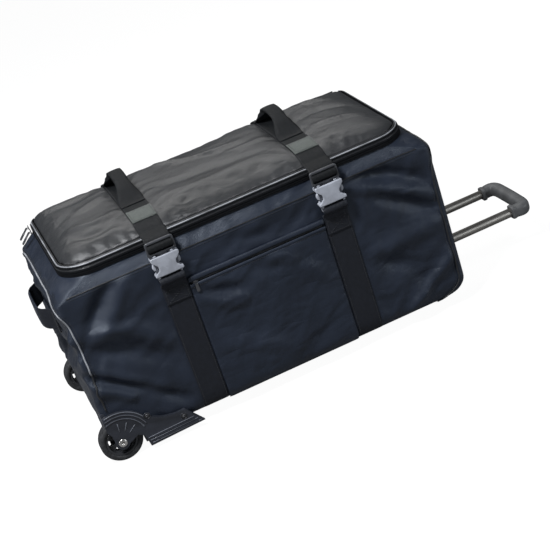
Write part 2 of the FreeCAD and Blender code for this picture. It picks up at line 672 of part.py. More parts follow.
def make_tube_mounts():
    """The outer frame of the handle: saddles on the base board and a bezel on the end panel."""
    z, offset = S["tube_height"], S["tube_offset"]
    low = S["base_height"] + SKIN + 3
    saddles = []
    long = S["saddle_length"]
    for i, x in enumerate((S["saddle_wheel_end"], S["saddle_handle_end"])):
        block = box(f"saddle_block_{i}", (x, x + long), (-offset - 15, offset + 15), (low, z + 14))
        holes = [rod(f"saddle_hole_{i}_{name}", S["outer_tube"], "x", (x - 1, side * offset, z), long + 2)
                 for name, side in SIDES.items()]
        window = box(f"saddle_window_{i}", (x - 1, x + long + 1), (22 - offset, offset - 22),
                     (low + 10, z + 4))
        saddles.append(cut(f"saddle_{i}", block, holes + [window]))
    node("tube_saddles", group("tube_saddles", saddles))
    bezel = plate("bezel_plate", "YZ_Plane", (HALF_LENGTH, HALF_LENGTH + 5),
                  rounded((-offset - 22, offset + 22), (z - 19, z + 19), as_size(14)))
    holes = [rod(f"bezel_hole_{name}", S["inner_tube"] + S["bore_gap"], "x",
                 (HALF_LENGTH - 1, side * offset, z), 8) for name, side in SIDES.items()]
    node("handle_bezel", cut("handle_bezel", bezel, holes))


def make_grip():
    """The moulded grip, hollow for the release yoke, with the button in its outer face."""
    z, offset, half = S["tube_height"], S["tube_offset"], S["grip_half_width"]
    tall = (z - S["grip_half_height"], z + S["grip_half_height"])
    start, inner, outer = S["grip_socket"], S["grip_inner"], S["grip_outer"]
    bend = as_size(14)
    arm_in, arm_out = offset - 12, offset + 12
    outline = [(start, -arm_out), (inner - 6, -arm_out), (inner + 4, -half), (outer - bend, -half, bend),
               (outer, bend - half), (outer, half - bend, bend), (outer - bend, half), (inner + 4, half),
               (inner - 6, arm_out), (start, arm_out), (start, arm_in), (inner - 4, arm_in),
               (inner, arm_in - 4), (inner, 4 - arm_in), (inner - 4, -arm_in), (start, -arm_in)]
    body = doc.addObject("PartDesign::Body", "grip_body")
    feature = pad(body, "grip_pad", draw(body, "grip_outline", "XY_Plane", tall[0], outline),
                  tall[1] - tall[0])
    doc.recompute()
    soften(body, feature, "grip_edges", 5.0, tall)
    depth = S["cavity_start"] - start + 2
    sockets = [rod(f"grip_bore_{name}", S["inner_tube"], "x", (start - 1, side * offset, z), depth)
               for name, side in SIDES.items()]
    cavity = box("grip_cavity", (S["cavity_start"], S["cavity_end"]), (-offset - 5, offset + 5),
                 (z - 6, z + 6))
    window = box("button_window", (S["cavity_end"] - 1, outer + 1), (-18, 18), (z - 6, z + 6))
    node("grip", cut("grip", body, sockets + [cavity, window]))
    yoke_low = S["cavity_end"] - 12
    yoke_high = yoke_low + 8
    yoke = box("yoke", (yoke_low, yoke_high), (-offset - 3, offset + 3), (z - 3, z + 3))
    rods = [rod(f"push_rod_{name}", 1.5, "x", (-15, side * offset, z), yoke_low + 15)
            for name, side in SIDES.items()]
    node("push_rods", fuse("push_rods", [yoke] + rods))
    node("release_button", plate("release_button", "YZ_Plane", (yoke_high, outer + S["button_proud"]),
                                 rounded((-17.5, 17.5), (z - 5.5, z + 5.5), as_size(3))))


def soften(body, feature, name, radius, heights):
    """Rounds the edges that lie in the top and bottom faces of a padded feature."""
    picked = []
    for index, edge in enumerate(feature.Shape.Edges, start=1):
        zs = [vertex.Z for vertex in edge.Vertexes]
        if max(zs) - min(zs) < 0.01 and any(abs(zs[0] - float(level)) < 0.01 for level in heights):
            picked.append(f"Edge{index}")
    fillet = body.newObject("PartDesign::Fillet", name)
    fillet.Base = (feature, picked)
    fillet.Radius = radius
    return fillet


# ---------------------------------------------------------------- zip sliders

def make_zip_sliders():
    """Sliders and pull tabs of the main zip, on its straight run at the wheel end, and of the pocket zip."""
    track = -S["mouth_wheel_end"] - SKIN - 0.4
    low = S["rim_height"] + 0.4
    for name, y in {"front": 122, "rear": 150}.items():
        node(f"main_zip_slider_{name}", box(f"main_zip_slider_{name}", (track - 9.5, track), (y - 7, y + 7),
                                            (low, low + 5)))
        tab = plate(f"main_zip_pull_{name}", "XZ_Plane", (-4, 4), rectangle((-25, 0.5), (-0.8, 0.8)))
        tab.Placement = Placement(Vector(), Rotation(Vector(0, 1, 0), -43))
        node(f"main_zip_pull_{name}", tab, track - 11, y, low)
    face = -HALF_DEPTH - S["tape_thickness"] - 0.4
    node("pocket_zip_slider", box("pocket_zip_slider", (-132, -122), (face, face - 2.2),
                                  (S["pocket_zip_low"], S["pocket_zip_high"])))
    node("pocket_zip_pull", box("pocket_zip_pull", (-130, -124), (face - 4.3, face - 2.7), (262, 288.5)))


def check(things):
    """Stops the script if any object failed, or any sub-part is empty or not a valid solid."""
    failed = [item.Label for item in doc.Objects if {"Invalid", "Error"} & set(item.State)]
    failed += [thing.Label for thing in things if thing.Shape.isNull() or not thing.Shape.isValid()]
    failed += [thing.Label for thing in things if not thing.Shape.Solids or thing.Shape.Volume <= 0]
    if failed:
        raise SystemExit("failed: " + ", ".join(sorted(set(failed))))


make_panels()
make_borders()
make_linings()
make_trim()
make_grab_handle()
make_lid()
for end_name, strap_centre in STRAP_ENDS.items():
    make_buckle(end_name, strap_centre)
for side_name, side_sign in SIDES.items():
    make_wheel_end(side_name, side_sign)
make_fasteners()
make_feet()
make_tubes()
make_tube_mounts()
make_grip()
make_zip_sliders()

doc.recompute()
check(nodes)
os.makedirs("parts", exist_ok=True)
for part in nodes:
    part.Shape.exportStep(f"parts/{part.Label}.step")
print(len(nodes), "sub-parts written")
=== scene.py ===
"""Looks of the rolling duffel bag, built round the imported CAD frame.

Shapes are worked out in the bag's own frame in millimetres (X from the wheels to the handle, -Y towards the
buckles, Z up from the ground) and are placed in the row's frame, in metres, when their meshes are made.
"""

import math

import bmesh
import bpy
import numpy as np
from mathutils import Matrix, Vector, noise
from mathutils.bvhtree import BVHTree


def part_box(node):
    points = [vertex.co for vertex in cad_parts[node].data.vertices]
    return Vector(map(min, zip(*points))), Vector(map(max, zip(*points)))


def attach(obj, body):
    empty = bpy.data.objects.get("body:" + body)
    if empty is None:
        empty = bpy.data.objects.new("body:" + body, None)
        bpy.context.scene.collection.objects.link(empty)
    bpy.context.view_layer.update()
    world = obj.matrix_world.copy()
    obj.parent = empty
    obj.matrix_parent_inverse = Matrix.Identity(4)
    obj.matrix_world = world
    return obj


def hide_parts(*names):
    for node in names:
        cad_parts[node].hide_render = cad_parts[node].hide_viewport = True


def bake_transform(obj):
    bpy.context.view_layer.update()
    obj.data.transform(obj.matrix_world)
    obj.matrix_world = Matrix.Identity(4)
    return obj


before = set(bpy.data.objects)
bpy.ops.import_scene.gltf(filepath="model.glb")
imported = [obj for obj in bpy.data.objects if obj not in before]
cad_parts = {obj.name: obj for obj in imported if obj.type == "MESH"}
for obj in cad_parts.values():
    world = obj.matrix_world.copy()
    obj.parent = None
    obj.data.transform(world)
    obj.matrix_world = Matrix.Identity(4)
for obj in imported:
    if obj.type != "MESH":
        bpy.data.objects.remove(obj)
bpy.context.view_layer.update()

# ---------------------------------------------------------------- places and sizes

MM = 0.001
_base_low, _base_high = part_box("base_panel")
MIDDLE = np.array(((_base_low.x + _base_high.x) / 2, (_base_low.y + _base_high.y) / 2, 0.0))


def span(name):
    """A CAD node's lowest and highest corners in the bag's frame, in millimetres."""
    return [(np.array(corner) - MIDDLE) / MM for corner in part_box(name)]


def place(points):
    """Points in the bag's frame, in millimetres, as scene points in metres."""
    return np.asarray(points, float).reshape(-1, 3) * MM + MIDDLE


HALF_X, HALF_Y, FLOOR_Z = span("base_panel")[1][0], span("base_panel")[1][1], span("base_panel")[0][2]
BORDER_Z = span("front_panel")[1][2]
MOUTH_Z = span("front_zip_border")[1][2]
LID_LOW, LID_HIGH = span("lid_panel")
MOUTH_X = (LID_LOW[0], LID_HIGH[0])
MOUTH_Y = (LID_LOW[1], LID_HIGH[1] + 1)
MOUTH_RADII = (55, 18)
CORNER = 13
SEAM_Z = BORDER_Z - 14
ZIP_LOW = MOUTH_Z - 12
STRAP_X = (span("front_strap_wheel_end")[0][0] + span("front_strap_wheel_end")[1][0]) / 2
STRAPS = {"wheel_end": STRAP_X, "handle_end": -STRAP_X}
WEB = 50
ENDS = {"wheel": -1, "handle": 1}
SIDES = {"front": -1, "rear": 1}


# ---------------------------------------------------------------- materials

class Shade:
    """A principled material with a few short helpers for procedural detail."""

    def __init__(self, name, colour, roughness, **settings):
        self.material = bpy.data.materials.new(name)
        self.material.use_nodes = True
        self.tree = self.material.node_tree
        self.shader = self.tree.nodes["Principled BSDF"]
        self.shader.inputs["Base Color"].default_value = (*colour, 1)
        self.shader.inputs["Roughness"].default_value = roughness
        for key, value in settings.items():
            self.shader.inputs[key.replace("_", " ")].default_value = value
        self.colour = colour
        self.roughness = roughness

    def add(self, kind, **settings):
        made = self.tree.nodes.new(kind)
        for key, value in settings.items():
            if key in made.inputs:
                made.inputs[key].default_value = value
            else:
                setattr(made, key, value)
        return made

    def link(self, source, target):
        self.tree.links.new(source, target)
        return target

    def place_vector(self):
        """The point on the surface in millimetres, in the object's own frame."""
        coordinates = self.add("ShaderNodeTexCoord")
        scaled = self.add("ShaderNodeVectorMath", operation="SCALE")
        scaled.inputs["Scale"].default_value = 1 / MM
        self.link(coordinates.outputs["Object"], scaled.inputs[0])
        return scaled.outputs[0]

    def cloth_vector(self):
        """The point on the flat cloth in millimetres, as the mesh carries it."""
        return self.add("ShaderNodeAttribute", attribute_name="cloth").outputs["Vector"]

    def math(self, operation, first, second=0.0):
        made = self.add("ShaderNodeMath", operation=operation)
        for socket, value in zip(made.inputs, (first, second)):
            if isinstance(value, (int, float)):
                socket.default_value = value
            else:
                self.link(value, socket)
        return made.outputs[0]

    def noise(self, vector, size, detail=3.0):
        """Noise whose patches are about size millimetres across."""
        made = self.add("ShaderNodeTexNoise", Scale=1 / size, Detail=detail)
        self.link(vector, made.inputs["Vector"])
        return made.outputs["Fac"]

    def waves(self, value, pitch):
        return self.math("SINE", self.math("MULTIPLY", value, 2 * math.pi / pitch))

    def split(self, vector):
        made = self.add("ShaderNodeSeparateXYZ")
        self.link(vector, made.inputs[0])
        return made.outputs

    def remap(self, value, low, high, new_low, new_high):
        made = self.add("ShaderNodeMapRange")
        for key, number in zip(("From Min", "From Max", "To Min", "To Max"), (low, high, new_low, new_high)):
            made.inputs[key].default_value = number
        self.link(value, made.inputs["Value"])
        return made.outputs["Result"]

    def vary(self, factor, low, high, strength=1.0):
        """Moves the base colour between two multiples of itself as the factor goes from low to high."""
        made = self.add("ShaderNodeMix", data_type="RGBA", blend_type="MIX")
        self.link(self.math("MULTIPLY", factor, strength), made.inputs["Factor"])
        made.inputs[6].default_value = (*(c * low for c in self.colour), 1)
        made.inputs[7].default_value = (*(c * high for c in self.colour), 1)
        self.link(made.outputs[2], self.shader.inputs["Base Color"])

    def rough(self, factor, spread):
        self.link(self.remap(factor, 0, 1, self.roughness - spread, self.roughness + spread),
                  self.shader.inputs["Roughness"])

    def bump(self, height, depth, strength=0.5):
        """Adds relief, with depth in millimetres, on top of any that is there."""
        made = self.add("ShaderNodeBump", Strength=strength, Distance=depth * MM)
        self.link(height, made.inputs["Height"])
        socket = self.shader.inputs["Normal"]
        if socket.is_linked:
            self.link(socket.links[0].from_socket, made.inputs["Normal"])
        self.link(made.outputs["Normal"], socket)

    def weave(self, pitch, depth, strength=0.5):
        """A plain weave: a checker of small humps."""
        across, along, _ = self.split(self.cloth_vector())
        humps = self.math("MULTIPLY", self.waves(across, pitch), self.waves(along, pitch))
        self.bump(humps, depth, strength)
        return humps

    def creases(self, vector, depth):
        """Soft wandering creases, stronger in some places than in others; depth is in millimetres."""
        for size, turn, share in ((62, 0.6, 1.0), (30, -0.5, 0.4)):
            slanted = self.add("ShaderNodeMapping", Rotation=(turn * 0.4, turn, 0.3), Scale=(0.55, 0.8, 1.2))
            self.link(vector, slanted.inputs["Vector"])
            wander = self.add("ShaderNodeTexNoise", Scale=1 / size, Detail=1.0, Distortion=0.5)
            self.link(slanted.outputs[0], wander.inputs["Vector"])
            valley = self.math("ABSOLUTE", self.math("SUBTRACT", wander.outputs["Fac"], 0.5))
            where = self.remap(self.noise(vector, 130, 1.0), 0.35, 0.65, 0.25, 1.0)
            self.bump(self.math("MULTIPLY", valley, where), depth * share * 10, 0.8)

    def edge_highlight(self, light):
        """Lightens the raised edges in the base colour: a painted highlight where light catches them."""
        pointed = self.add("ShaderNodeNewGeometry").outputs["Pointiness"]
        return self.remap(pointed, 0.5, 0.58, 0.0, light)


def fabric(name, colour, roughness, pitch, patch=90, creases=0.0, **settings):
    """A woven cloth material."""
    shade = Shade(name, colour, roughness, **settings)
    vector = shade.place_vector()
    cloudy = shade.noise(vector, patch, 4.0)
    humps = shade.weave(pitch, 0.12)
    # Random cloudy tone, plus painted shade of the weave: lighter on its humps, darker between them.
    mixed = shade.math("ADD", shade.remap(cloudy, 0.3, 0.7, 0, 0.8), shade.remap(humps, -1, 1, -0.1, 0.2))
    shade.vary(mixed, 0.8, 1.3)
    shade.rough(cloudy, 0.06)
    shade.bump(shade.noise(vector, 14, 3.0), 0.5, 0.35)
    if creases:
        shade.creases(vector, creases)
    return shade.material


def webbing_material(name, colour, roughness=0.62, shine=0.3):
    """Ribbed webbing: rows of fine ribs with a herringbone run and a firm edge."""
    shade = Shade(name, colour, roughness, Specular_IOR_Level=shine)
    across, along, _ = shade.split(shade.cloth_vector())
    slanted = shade.math("ADD", along, shade.math("MULTIPLY", shade.waves(across, 8.4), 0.8))
    ribs = shade.waves(slanted, 1.7)
    cords = shade.waves(across, 2.1)
    height = shade.math("ADD", ribs, shade.math("MULTIPLY", cords, 0.6))
    shade.bump(height, 0.22, 0.6)
    fuzz = shade.noise(shade.place_vector(), 9, 5.0)
    # The colour is lighter on the ribs and darker in the grooves between them: painted shade of the ribs, with
    # random fuzz on top.
    relief, wisps = shade.remap(height, -1.6, 1.6, 0.0, 0.6), shade.remap(fuzz, 0.3, 0.7, -0.1, 0.4)
    shade.vary(shade.math("ADD", relief, wisps), 0.65, 1.5)
    return shade.material


def plastic(name, colour, roughness, grain=0.9, edge_highlight=0.5, **settings):
    """A moulded plastic material."""
    shade = Shade(name, colour, roughness, **settings)
    vector = shade.place_vector()
    fine, cloudy = shade.noise(vector, grain, 2.0), shade.noise(vector, 26, 3.0)
    shade.bump(fine, 0.06, 0.4)
    # Random cloudy tone, plus a painted highlight on the raised edges.
    shade.vary(shade.math("ADD", shade.remap(cloudy, 0.35, 0.65, 0.0, 0.5), shade.edge_highlight(edge_highlight)), 0.88, 1.6)
    shade.rough(cloudy, 0.07)
    return shade.material


def metal(name, colour, roughness, streak=(1, 1, 1)):
    """Metal with fine streaks; streak stretches the grain along an axis by its small number."""
    shade = Shade(name, colour, roughness, Metallic=1.0)
    stretched = shade.add("ShaderNodeVectorMath", operation="MULTIPLY")
    stretched.inputs[1].default_value = streak
    shade.link(shade.place_vector(), stretched.inputs[0])
    lines = shade.noise(stretched.outputs[0], 0.8, 4.0)
    smudge = shade.noise(shade.place_vector(), 22, 3.0)
    shade.bump(lines, 0.008, 0.2)
    shade.vary(shade.math("ADD", shade.remap(lines, 0.3, 0.7, 0, 0.6), shade.remap(smudge, 0.4, 0.7, 0, 0.3)),
               0.82, 1.12)
    shade.rough(smudge, 0.08)
    return shade.material


def patch_material():
    """Short loop pile, slightly speckled."""
    shade = Shade("loop_pile", (0.058, 0.066, 0.060), 0.85, Sheen_Weight=0.15)
    vector = shade.place_vector()
    loops = shade.add("ShaderNodeTexVoronoi", Scale=1.1, feature="F1")
    shade.link(vector, loops.inputs["Vector"])
    speckle = shade.noise(vector, 1.6, 2.0)
    shade.bump(loops.outputs["Distance"], 0.5, 0.7)
    shade.vary(shade.remap(speckle, 0.35, 0.65, 0, 1), 0.55, 1.5)
    return shade.material


def piping_material(name, colour):
    """Bias tape wrapped round a cord, with a faint diagonal rib."""
    shade = Shade(name, colour, 0.42, Coat_Weight=0.15, Coat_Roughness=0.3)
    vector = shade.place_vector()
    x, y, z = shade.split(vector)
    ribs = shade.waves(shade.math("ADD", x, shade.math("ADD", y, z)), 1.4)
    shade.bump(ribs, 0.08, 0.4)
    # Long random patches lighten and darken the piping: painted highlights standing for the reflection that changes
    # along it.
    shade.vary(shade.remap(shade.noise(vector, 45, 3.0), 0.35, 0.6, 0, 1), 0.45, 1.2)
    return shade.material


def tyre_material():
    """The rubber of the two tyres."""
    shade = Shade("tyre_rubber", (0.014, 0.0145, 0.016), 0.7)
    vector = shade.place_vector()
    dust = shade.noise(vector, 7, 5.0)
    shade.vary(shade.remap(dust, 0.4, 0.75, 0, 1), 0.8, 2.6)
    shade.rough(dust, 0.1)
    shade.bump(shade.noise(vector, 1.2, 3.0), 0.1, 0.5)
    return shade.material


MATERIALS = {
    "body": fabric("body_nylon", (0.0125, 0.0165, 0.027), 0.45, 1.3, creases=1.0, Specular_IOR_Level=0.4,
                   Specular_Tint=(0.82, 0.9, 1.0, 1.0)),
    "gusset": fabric("gusset_nylon", (0.0115, 0.0145, 0.0225), 0.44, 1.6, patch=40, creases=1.3,
                     Specular_IOR_Level=0.4, Specular_Tint=(0.8, 0.9, 1.0, 1.0)),
    "lid": fabric("lid_nylon", (0.0235, 0.0245, 0.0262), 0.36, 1.3, creases=0.6, Specular_IOR_Level=0.5),
    "lining": fabric("lining_taffeta", (0.045, 0.046, 0.05), 0.6, 0.9, patch=60),
    "webbing": webbing_material("webbing", (0.0068, 0.0084, 0.0132)),
    "lid_webbing": webbing_material("lid_webbing", (0.0048, 0.0056, 0.0066), 0.62, 0.22),
    "binding": webbing_material("dark_binding", (0.008, 0.0085, 0.0095)),
    "patch": patch_material(),
    "piping": piping_material("reflective_piping", (0.25, 0.26, 0.28)),
    "dark_piping": piping_material("dark_piping", (0.012, 0.013, 0.015)),
    "tape": webbing_material("zip_tape", (0.0025, 0.003, 0.004), 0.75, 0.12),
    "coil": plastic("zip_coil", (0.018, 0.019, 0.021), 0.35, edge_highlight=0.2),
    "thread": fabric("thread", (0.03, 0.032, 0.036), 0.6, 0.6),
    "puller": plastic("puller", (0.03, 0.031, 0.034), 0.3, edge_highlight=1.0, Specular_IOR_Level=0.7),
    "zip_metal": metal("dark_nickel", (0.15, 0.15, 0.16), 0.3),
    "board": plastic("board", (0.05, 0.05, 0.055), 0.5, grain=2.2),
    # The ribs are the housing's own plastic, given a lighter colour: a painted highlight.
    "rib": plastic("painted_highlight_rib", (0.07, 0.075, 0.088), 0.32, edge_highlight=0.8),
    "housing": plastic("housing_plastic", (0.0145, 0.0165, 0.0225), 0.4, Specular_IOR_Level=0.5),
    "buckle": plastic("buckle_plastic", (0.30, 0.315, 0.355), 0.28, edge_highlight=0.35, Specular_IOR_Level=0.6),
    "dark_buckle": plastic("dark_buckle_plastic", (0.035, 0.037, 0.042), 0.3, edge_highlight=0.9),
    "hub": plastic("hub_plastic", (0.022, 0.023, 0.026), 0.45),
    "tyre": tyre_material(),
    "steel": metal("zinc_steel", (0.62, 0.60, 0.57), 0.28),
    "tube": metal("satin_tube", (0.30, 0.285, 0.262), 0.5, streak=(0.02, 0.4, 0.4)),
    "grip": plastic("grip_plastic", (0.072, 0.074, 0.076), 0.5, grain=0.7, Specular_IOR_Level=0.5),
    "button": plastic("button_plastic", (0.035, 0.036, 0.038), 0.42),
}


# ---------------------------------------------------------------- meshes

def add_object(name, data):
    """A new mesh object from points and faces."""
    made = bpy.data.objects.new(name, data)
    bpy.context.scene.collection.objects.link(made)
    return made


def finish_piece(piece, body, material, replaces=()):
    """Gives a piece its material, the body it rides on and the CAD nodes it stands for."""
    if material:
        piece.data.materials.clear()
        piece.data.materials.append(MATERIALS[material])
    if body:
        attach(piece, body)
    if replaces:
        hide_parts(*replaces)
    return piece


def mesh_piece(name, points, faces, body=None, material=None, replaces=(), cloth=None, weld=0.0):
    """An object from bag-frame points in millimetres; cloth holds each point's place on the flat cloth."""
    mesh = bpy.data.meshes.new(name)
    mesh.from_pydata([tuple(p) for p in place(points)], [], faces)
    if cloth is not None:
        layer = mesh.attributes.new("cloth", "FLOAT_VECTOR", "POINT")
        layer.data.foreach_set("vector", np.asarray(cloth, np.float32).ravel())
    work = bmesh.new()
    work.from_mesh(mesh)
    if weld:
        bmesh.ops.remove_doubles(work, verts=work.verts, dist=weld * MM)
        bmesh.ops.dissolve_degenerate(work, edges=work.edges, dist=weld * MM / 4)
    bmesh.ops.recalc_face_normals(work, faces=work.faces)
    work.to_mesh(mesh)
    work.free()
    mesh.polygons.foreach_set("use_smooth", [True] * len(mesh.polygons))
    return finish_piece(add_object(name, mesh), body, material, replaces)


def bag_points(piece):
    """A piece's points in the bag's frame, in millimetres."""
    return (np.array([v.co for v in piece.data.vertices]) - MIDDLE) / MM


def move_points(piece, points):
    """Puts a piece's points at new places in the bag's frame."""
    piece.data.vertices.foreach_set("co", place(points).astype(np.float32).ravel())


def shade_smooth(piece):
    """Smooth shading on every face of a piece."""
    piece.data.polygons.foreach_set("use_smooth", [True] * len(piece.data.polygons))


def surface_of(piece):
    """A tree for finding points on a piece's surface."""
    return BVHTree.FromPolygons([v.co.copy() for v in piece.data.vertices],
                                [tuple(p.vertices) for p in piece.data.polygons])


def sharpen(piece, degrees):
    """Marks the edges that turn more than an angle as sharp."""
    piece.data.set_sharp_from_angle(angle=math.radians(degrees))
    return piece


def grid_faces(rows, columns, close_rows=False, close_columns=False):
    """Quads of a grid of points kept row by row."""
    last_row = rows if close_rows else rows - 1
    last_column = columns if close_columns else columns - 1
    return [(i * columns + j, i * columns + (j + 1) % columns,
             (i + 1) % rows * columns + (j + 1) % columns, (i + 1) % rows * columns + j)
            for i in range(last_row) for j in range(last_column)]


def end_faces(rows, columns):
    """The faces that close the first and the last row of a tube of points."""
    return [tuple(range(columns)), tuple(range((rows - 1) * columns, rows * columns))]


def lengths(grid, axis):
    """Distance travelled along one axis of a grid of points, starting from nought."""
    steps = np.linalg.norm(np.diff(grid, axis=axis), axis=2)
    first = np.zeros_like(np.take(steps, [0], axis=axis))
    return np.concatenate([first, np.cumsum(steps, axis=axis)], axis=axis)


def distance_along(path):
    """The distance travelled along a path at each of its points."""
    return np.concatenate([[0], np.cumsum(np.linalg.norm(np.diff(path, axis=0), axis=1))])


def point_at(distance, travelled, path):
    """The point of a path at a distance along it."""
    return np.array([np.interp(distance, travelled, path[:, k]) for k in range(3)])


def grid_normals(grid):
    """Unit normals of a grid of points."""
    normals = np.cross(np.gradient(grid, axis=0), np.gradient(grid, axis=1))
    return normals / np.maximum(np.linalg.norm(normals, axis=2, keepdims=True), 1e-9)


def slab(name, grid, thickness, body=None, material=None, replaces=(), edge=0.25):
    """A thin strip of cloth round a grid of middle points, with soft edges."""
    grid = np.asarray(grid, float)
    rows, columns, _ = grid.shape
    profile = np.ones(columns)
    profile[[0, -1]] = edge
    profile[[1, -2]] = max(edge, 0.8)
    offset = grid_normals(grid) * (profile * thickness / 2)[None, :, None]
    count = rows * columns
    top = grid_faces(rows, columns)
    faces = top + [tuple(count + k for k in face[::-1]) for face in top]
    for i in range(rows - 1):
        a, b = i * columns, (i + 1) * columns
        faces += [(a, b, count + b, count + a),
                  (a + columns - 1, count + a + columns - 1, count + b + columns - 1, b + columns - 1)]
    for j in range(columns - 1):
        k = (rows - 1) * columns + j
        faces += [(j, count + j, count + j + 1, j + 1), (k, k + 1, count + k + 1, count + k)]
    flat = np.stack([lengths(grid, 1), lengths(grid, 0), np.zeros((rows, columns))], axis=2).reshape(-1, 3)
    points = np.concatenate([(grid + offset).reshape(-1, 3), (grid - offset).reshape(-1, 3)])
    return mesh_piece(name, points, faces, body, material, replaces, np.concatenate([flat, flat]))


def across(width, columns=11):
    """Positions across webbing, closer together near its two edges."""
    half = width / 2
    inner = np.linspace(-half + 2.4, half - 2.4, columns - 4)
    return np.concatenate([[-half, -half + 0.8], inner, [half - 0.8, half]])


def smooth_line(points, step=4.0):
    """A Catmull-Rom line through given points, cut into even steps."""
    given = np.asarray(points, float)
    padded = np.concatenate([[2 * given[0] - given[1]], given, [2 * given[-1] - given[-2]]])
    out = []
    for i in range(1, len(padded) - 2):
        a, b, c, d = padded[i - 1:i + 3]
        count = max(2, int(np.linalg.norm(c - b) / step) + 1)
        for k in range(count):
            t = k / count
            out.append(0.5 * (2 * b + (c - a) * t + (2 * a - 5 * b + 4 * c - d) * t * t
                              + (3 * b - a - 3 * c + d) * t ** 3))
    out.append(given[-1])
    return np.array(out)


def tube(name, path, radius, body=None, material=None, replaces=(), sides=10):
    """A round cord swept along an open path."""
    path = np.asarray(path, float)
    tangents = np.gradient(path, axis=0)
    tangents /= np.linalg.norm(tangents, axis=1, keepdims=True)
    side = np.cross(tangents[0], (0, 0, 1) if abs(tangents[0][2]) < 0.9 else (1, 0, 0))
    rings = []
    for point, tangent in zip(path, tangents):
        side = side - tangent * side.dot(tangent)
        side /= np.linalg.norm(side)
        other = np.cross(tangent, side)
        angles = np.linspace(0, 2 * math.pi, sides, endpoint=False)
        rings.append([point + (side * math.cos(a) + other * math.sin(a)) * radius for a in angles])
    grid = np.array(rings)
    faces = grid_faces(len(grid), sides, False, True) + end_faces(len(grid), sides)
    return mesh_piece(name, grid.reshape(-1, 3), faces, body, material, replaces)


def lathe(name, profile, centre, body, material, replaces=(), sides=96, axis="y"):
    """A closed profile of (distance along the axis, radius) points turned round the Y or X axis."""
    angles = np.linspace(0, 2 * math.pi, sides, endpoint=False)
    points = []
    for along, radius in profile:
        for a in angles:
            u, v = radius * math.cos(a), radius * math.sin(a)
            points.append((u, along, v) if axis == "y" else (along, u, v))
    faces = grid_faces(len(profile), sides, True, True)
    return mesh_piece(name, np.array(points) + np.asarray(centre, float), faces, body, material, replaces)


def round_outline(corners, steps=5):
    """A closed 2D outline from (u, v, radius) corners."""
    out = []
    count = len(corners)
    for i, (u, v, radius) in enumerate(corners):
        here = np.array((u, v), float)
        before = np.array(corners[i - 1][:2], float) - here
        after = np.array(corners[(i + 1) % count][:2], float) - here
        if radius <= 0:
            out.append(here)
            continue
        before_length, after_length = np.linalg.norm(before), np.linalg.norm(after)
        before, after = before / before_length, after / after_length
        half = math.acos(max(-1.0, min(1.0, before.dot(after)))) / 2
        reach = min(radius / math.tan(half), before_length * 0.49, after_length * 0.49)
        start, end = here + before * reach, here + after * reach
        for k in range(steps + 1):
            t = k / steps
            out.append((1 - t) ** 2 * start + 2 * t * (1 - t) * here + t * t * end)
    return out


def round_box(us, vs, radius):
    """A rounded rectangle between two limits each way."""
    (u0, u1), (v0, v1) = us, vs
    return round_outline([(u0, v0, radius), (u1, v0, radius), (u1, v1, radius), (u0, v1, radius)])


def frontal(p):
    """(u, v, w) of a plate that faces the front, as x, y and z, with w counted from the body outwards."""
    return np.stack([p[:, 0], -p[:, 2], p[:, 1]], axis=1)


def endways(p):
    """(u, v, w) of a plate that faces the handle end, as x, y and z."""
    return np.stack([p[:, 2], p[:, 0], p[:, 1]], axis=1)


def plate_mesh(outlines, low, high, rounding):
    """A mesh of a flat plate with holes and rounded edges: u and v in its plane, w from low to high."""
    curve = bpy.data.curves.new("plate", "CURVE")
    curve.dimensions = "2D"
    curve.fill_mode = "BOTH"
    curve.extrude = (high - low) / 2 - rounding
    curve.bevel_depth = rounding
    curve.offset = -rounding
    curve.bevel_resolution = 2
    for outline in outlines:
        spline = curve.splines.new("POLY")
        spline.points.add(len(outline) - 1)
        for point, (u, v) in zip(spline.points, outline):
            point.co = (u, v, 0, 1)
        spline.use_cyclic_u = True
    holder = add_object("plate", curve)
    bpy.context.view_layer.update()
    mesh = bpy.data.meshes.new_from_object(holder.evaluated_get(bpy.context.evaluated_depsgraph_get()))
    bpy.data.objects.remove(holder)
    points = np.array([v.co for v in mesh.vertices], float)
    points[:, 2] += (low + high) / 2
    faces = [tuple(p.vertices) for p in mesh.polygons]
    bpy.data.meshes.remove(mesh)
    return points, faces


def plate(name, outlines, low, high, rounding, turn, body=None, material=None, replaces=()):
    """A plate placed in the bag's frame; turn maps an array of (u, v, w) points to (x, y, z)."""
    points, faces = plate_mesh(outlines, low, high, rounding)
    piece = mesh_piece(name, turn(points), faces, weld=0.02)
    sharpen(piece, 50)
    return finish_piece(piece, body, material, replaces)


def join(name, pieces, body=None, material=None, replaces=()):
    """Makes one piece of several meshes that are not on a body yet."""
    work = bmesh.new()
    for piece in pieces:
        work.from_mesh(piece.data)
    mesh = bpy.data.meshes.new(name)
    work.to_mesh(mesh)
    work.free()
    for piece in pieces:
        bpy.data.objects.remove(piece)
    return finish_piece(add_object(name, mesh), body, material, replaces)


def apply_modifiers(piece):
    """Keeps a piece's modified mesh as its own mesh."""
    bpy.context.view_layer.update()
    mesh = bpy.data.meshes.new_from_object(piece.evaluated_get(bpy.context.evaluated_depsgraph_get()))
    piece.modifiers.clear()
    old = piece.data
    piece.data = mesh
    bpy.data.meshes.remove(old)
    return piece


def moulded(piece, voxel, rounds, factor=0.5):
    """Melts a piece into one moulded skin with soft edges."""
    remesh = piece.modifiers.new("Remesh", "REMESH")
    remesh.mode = "VOXEL"
    remesh.voxel_size = voxel * MM
    smooth = piece.modifiers.new("Smooth", "SMOOTH")
    smooth.factor = factor
    smooth.iterations = rounds
    apply_modifiers(piece)
    shade_smooth(piece)
    return piece


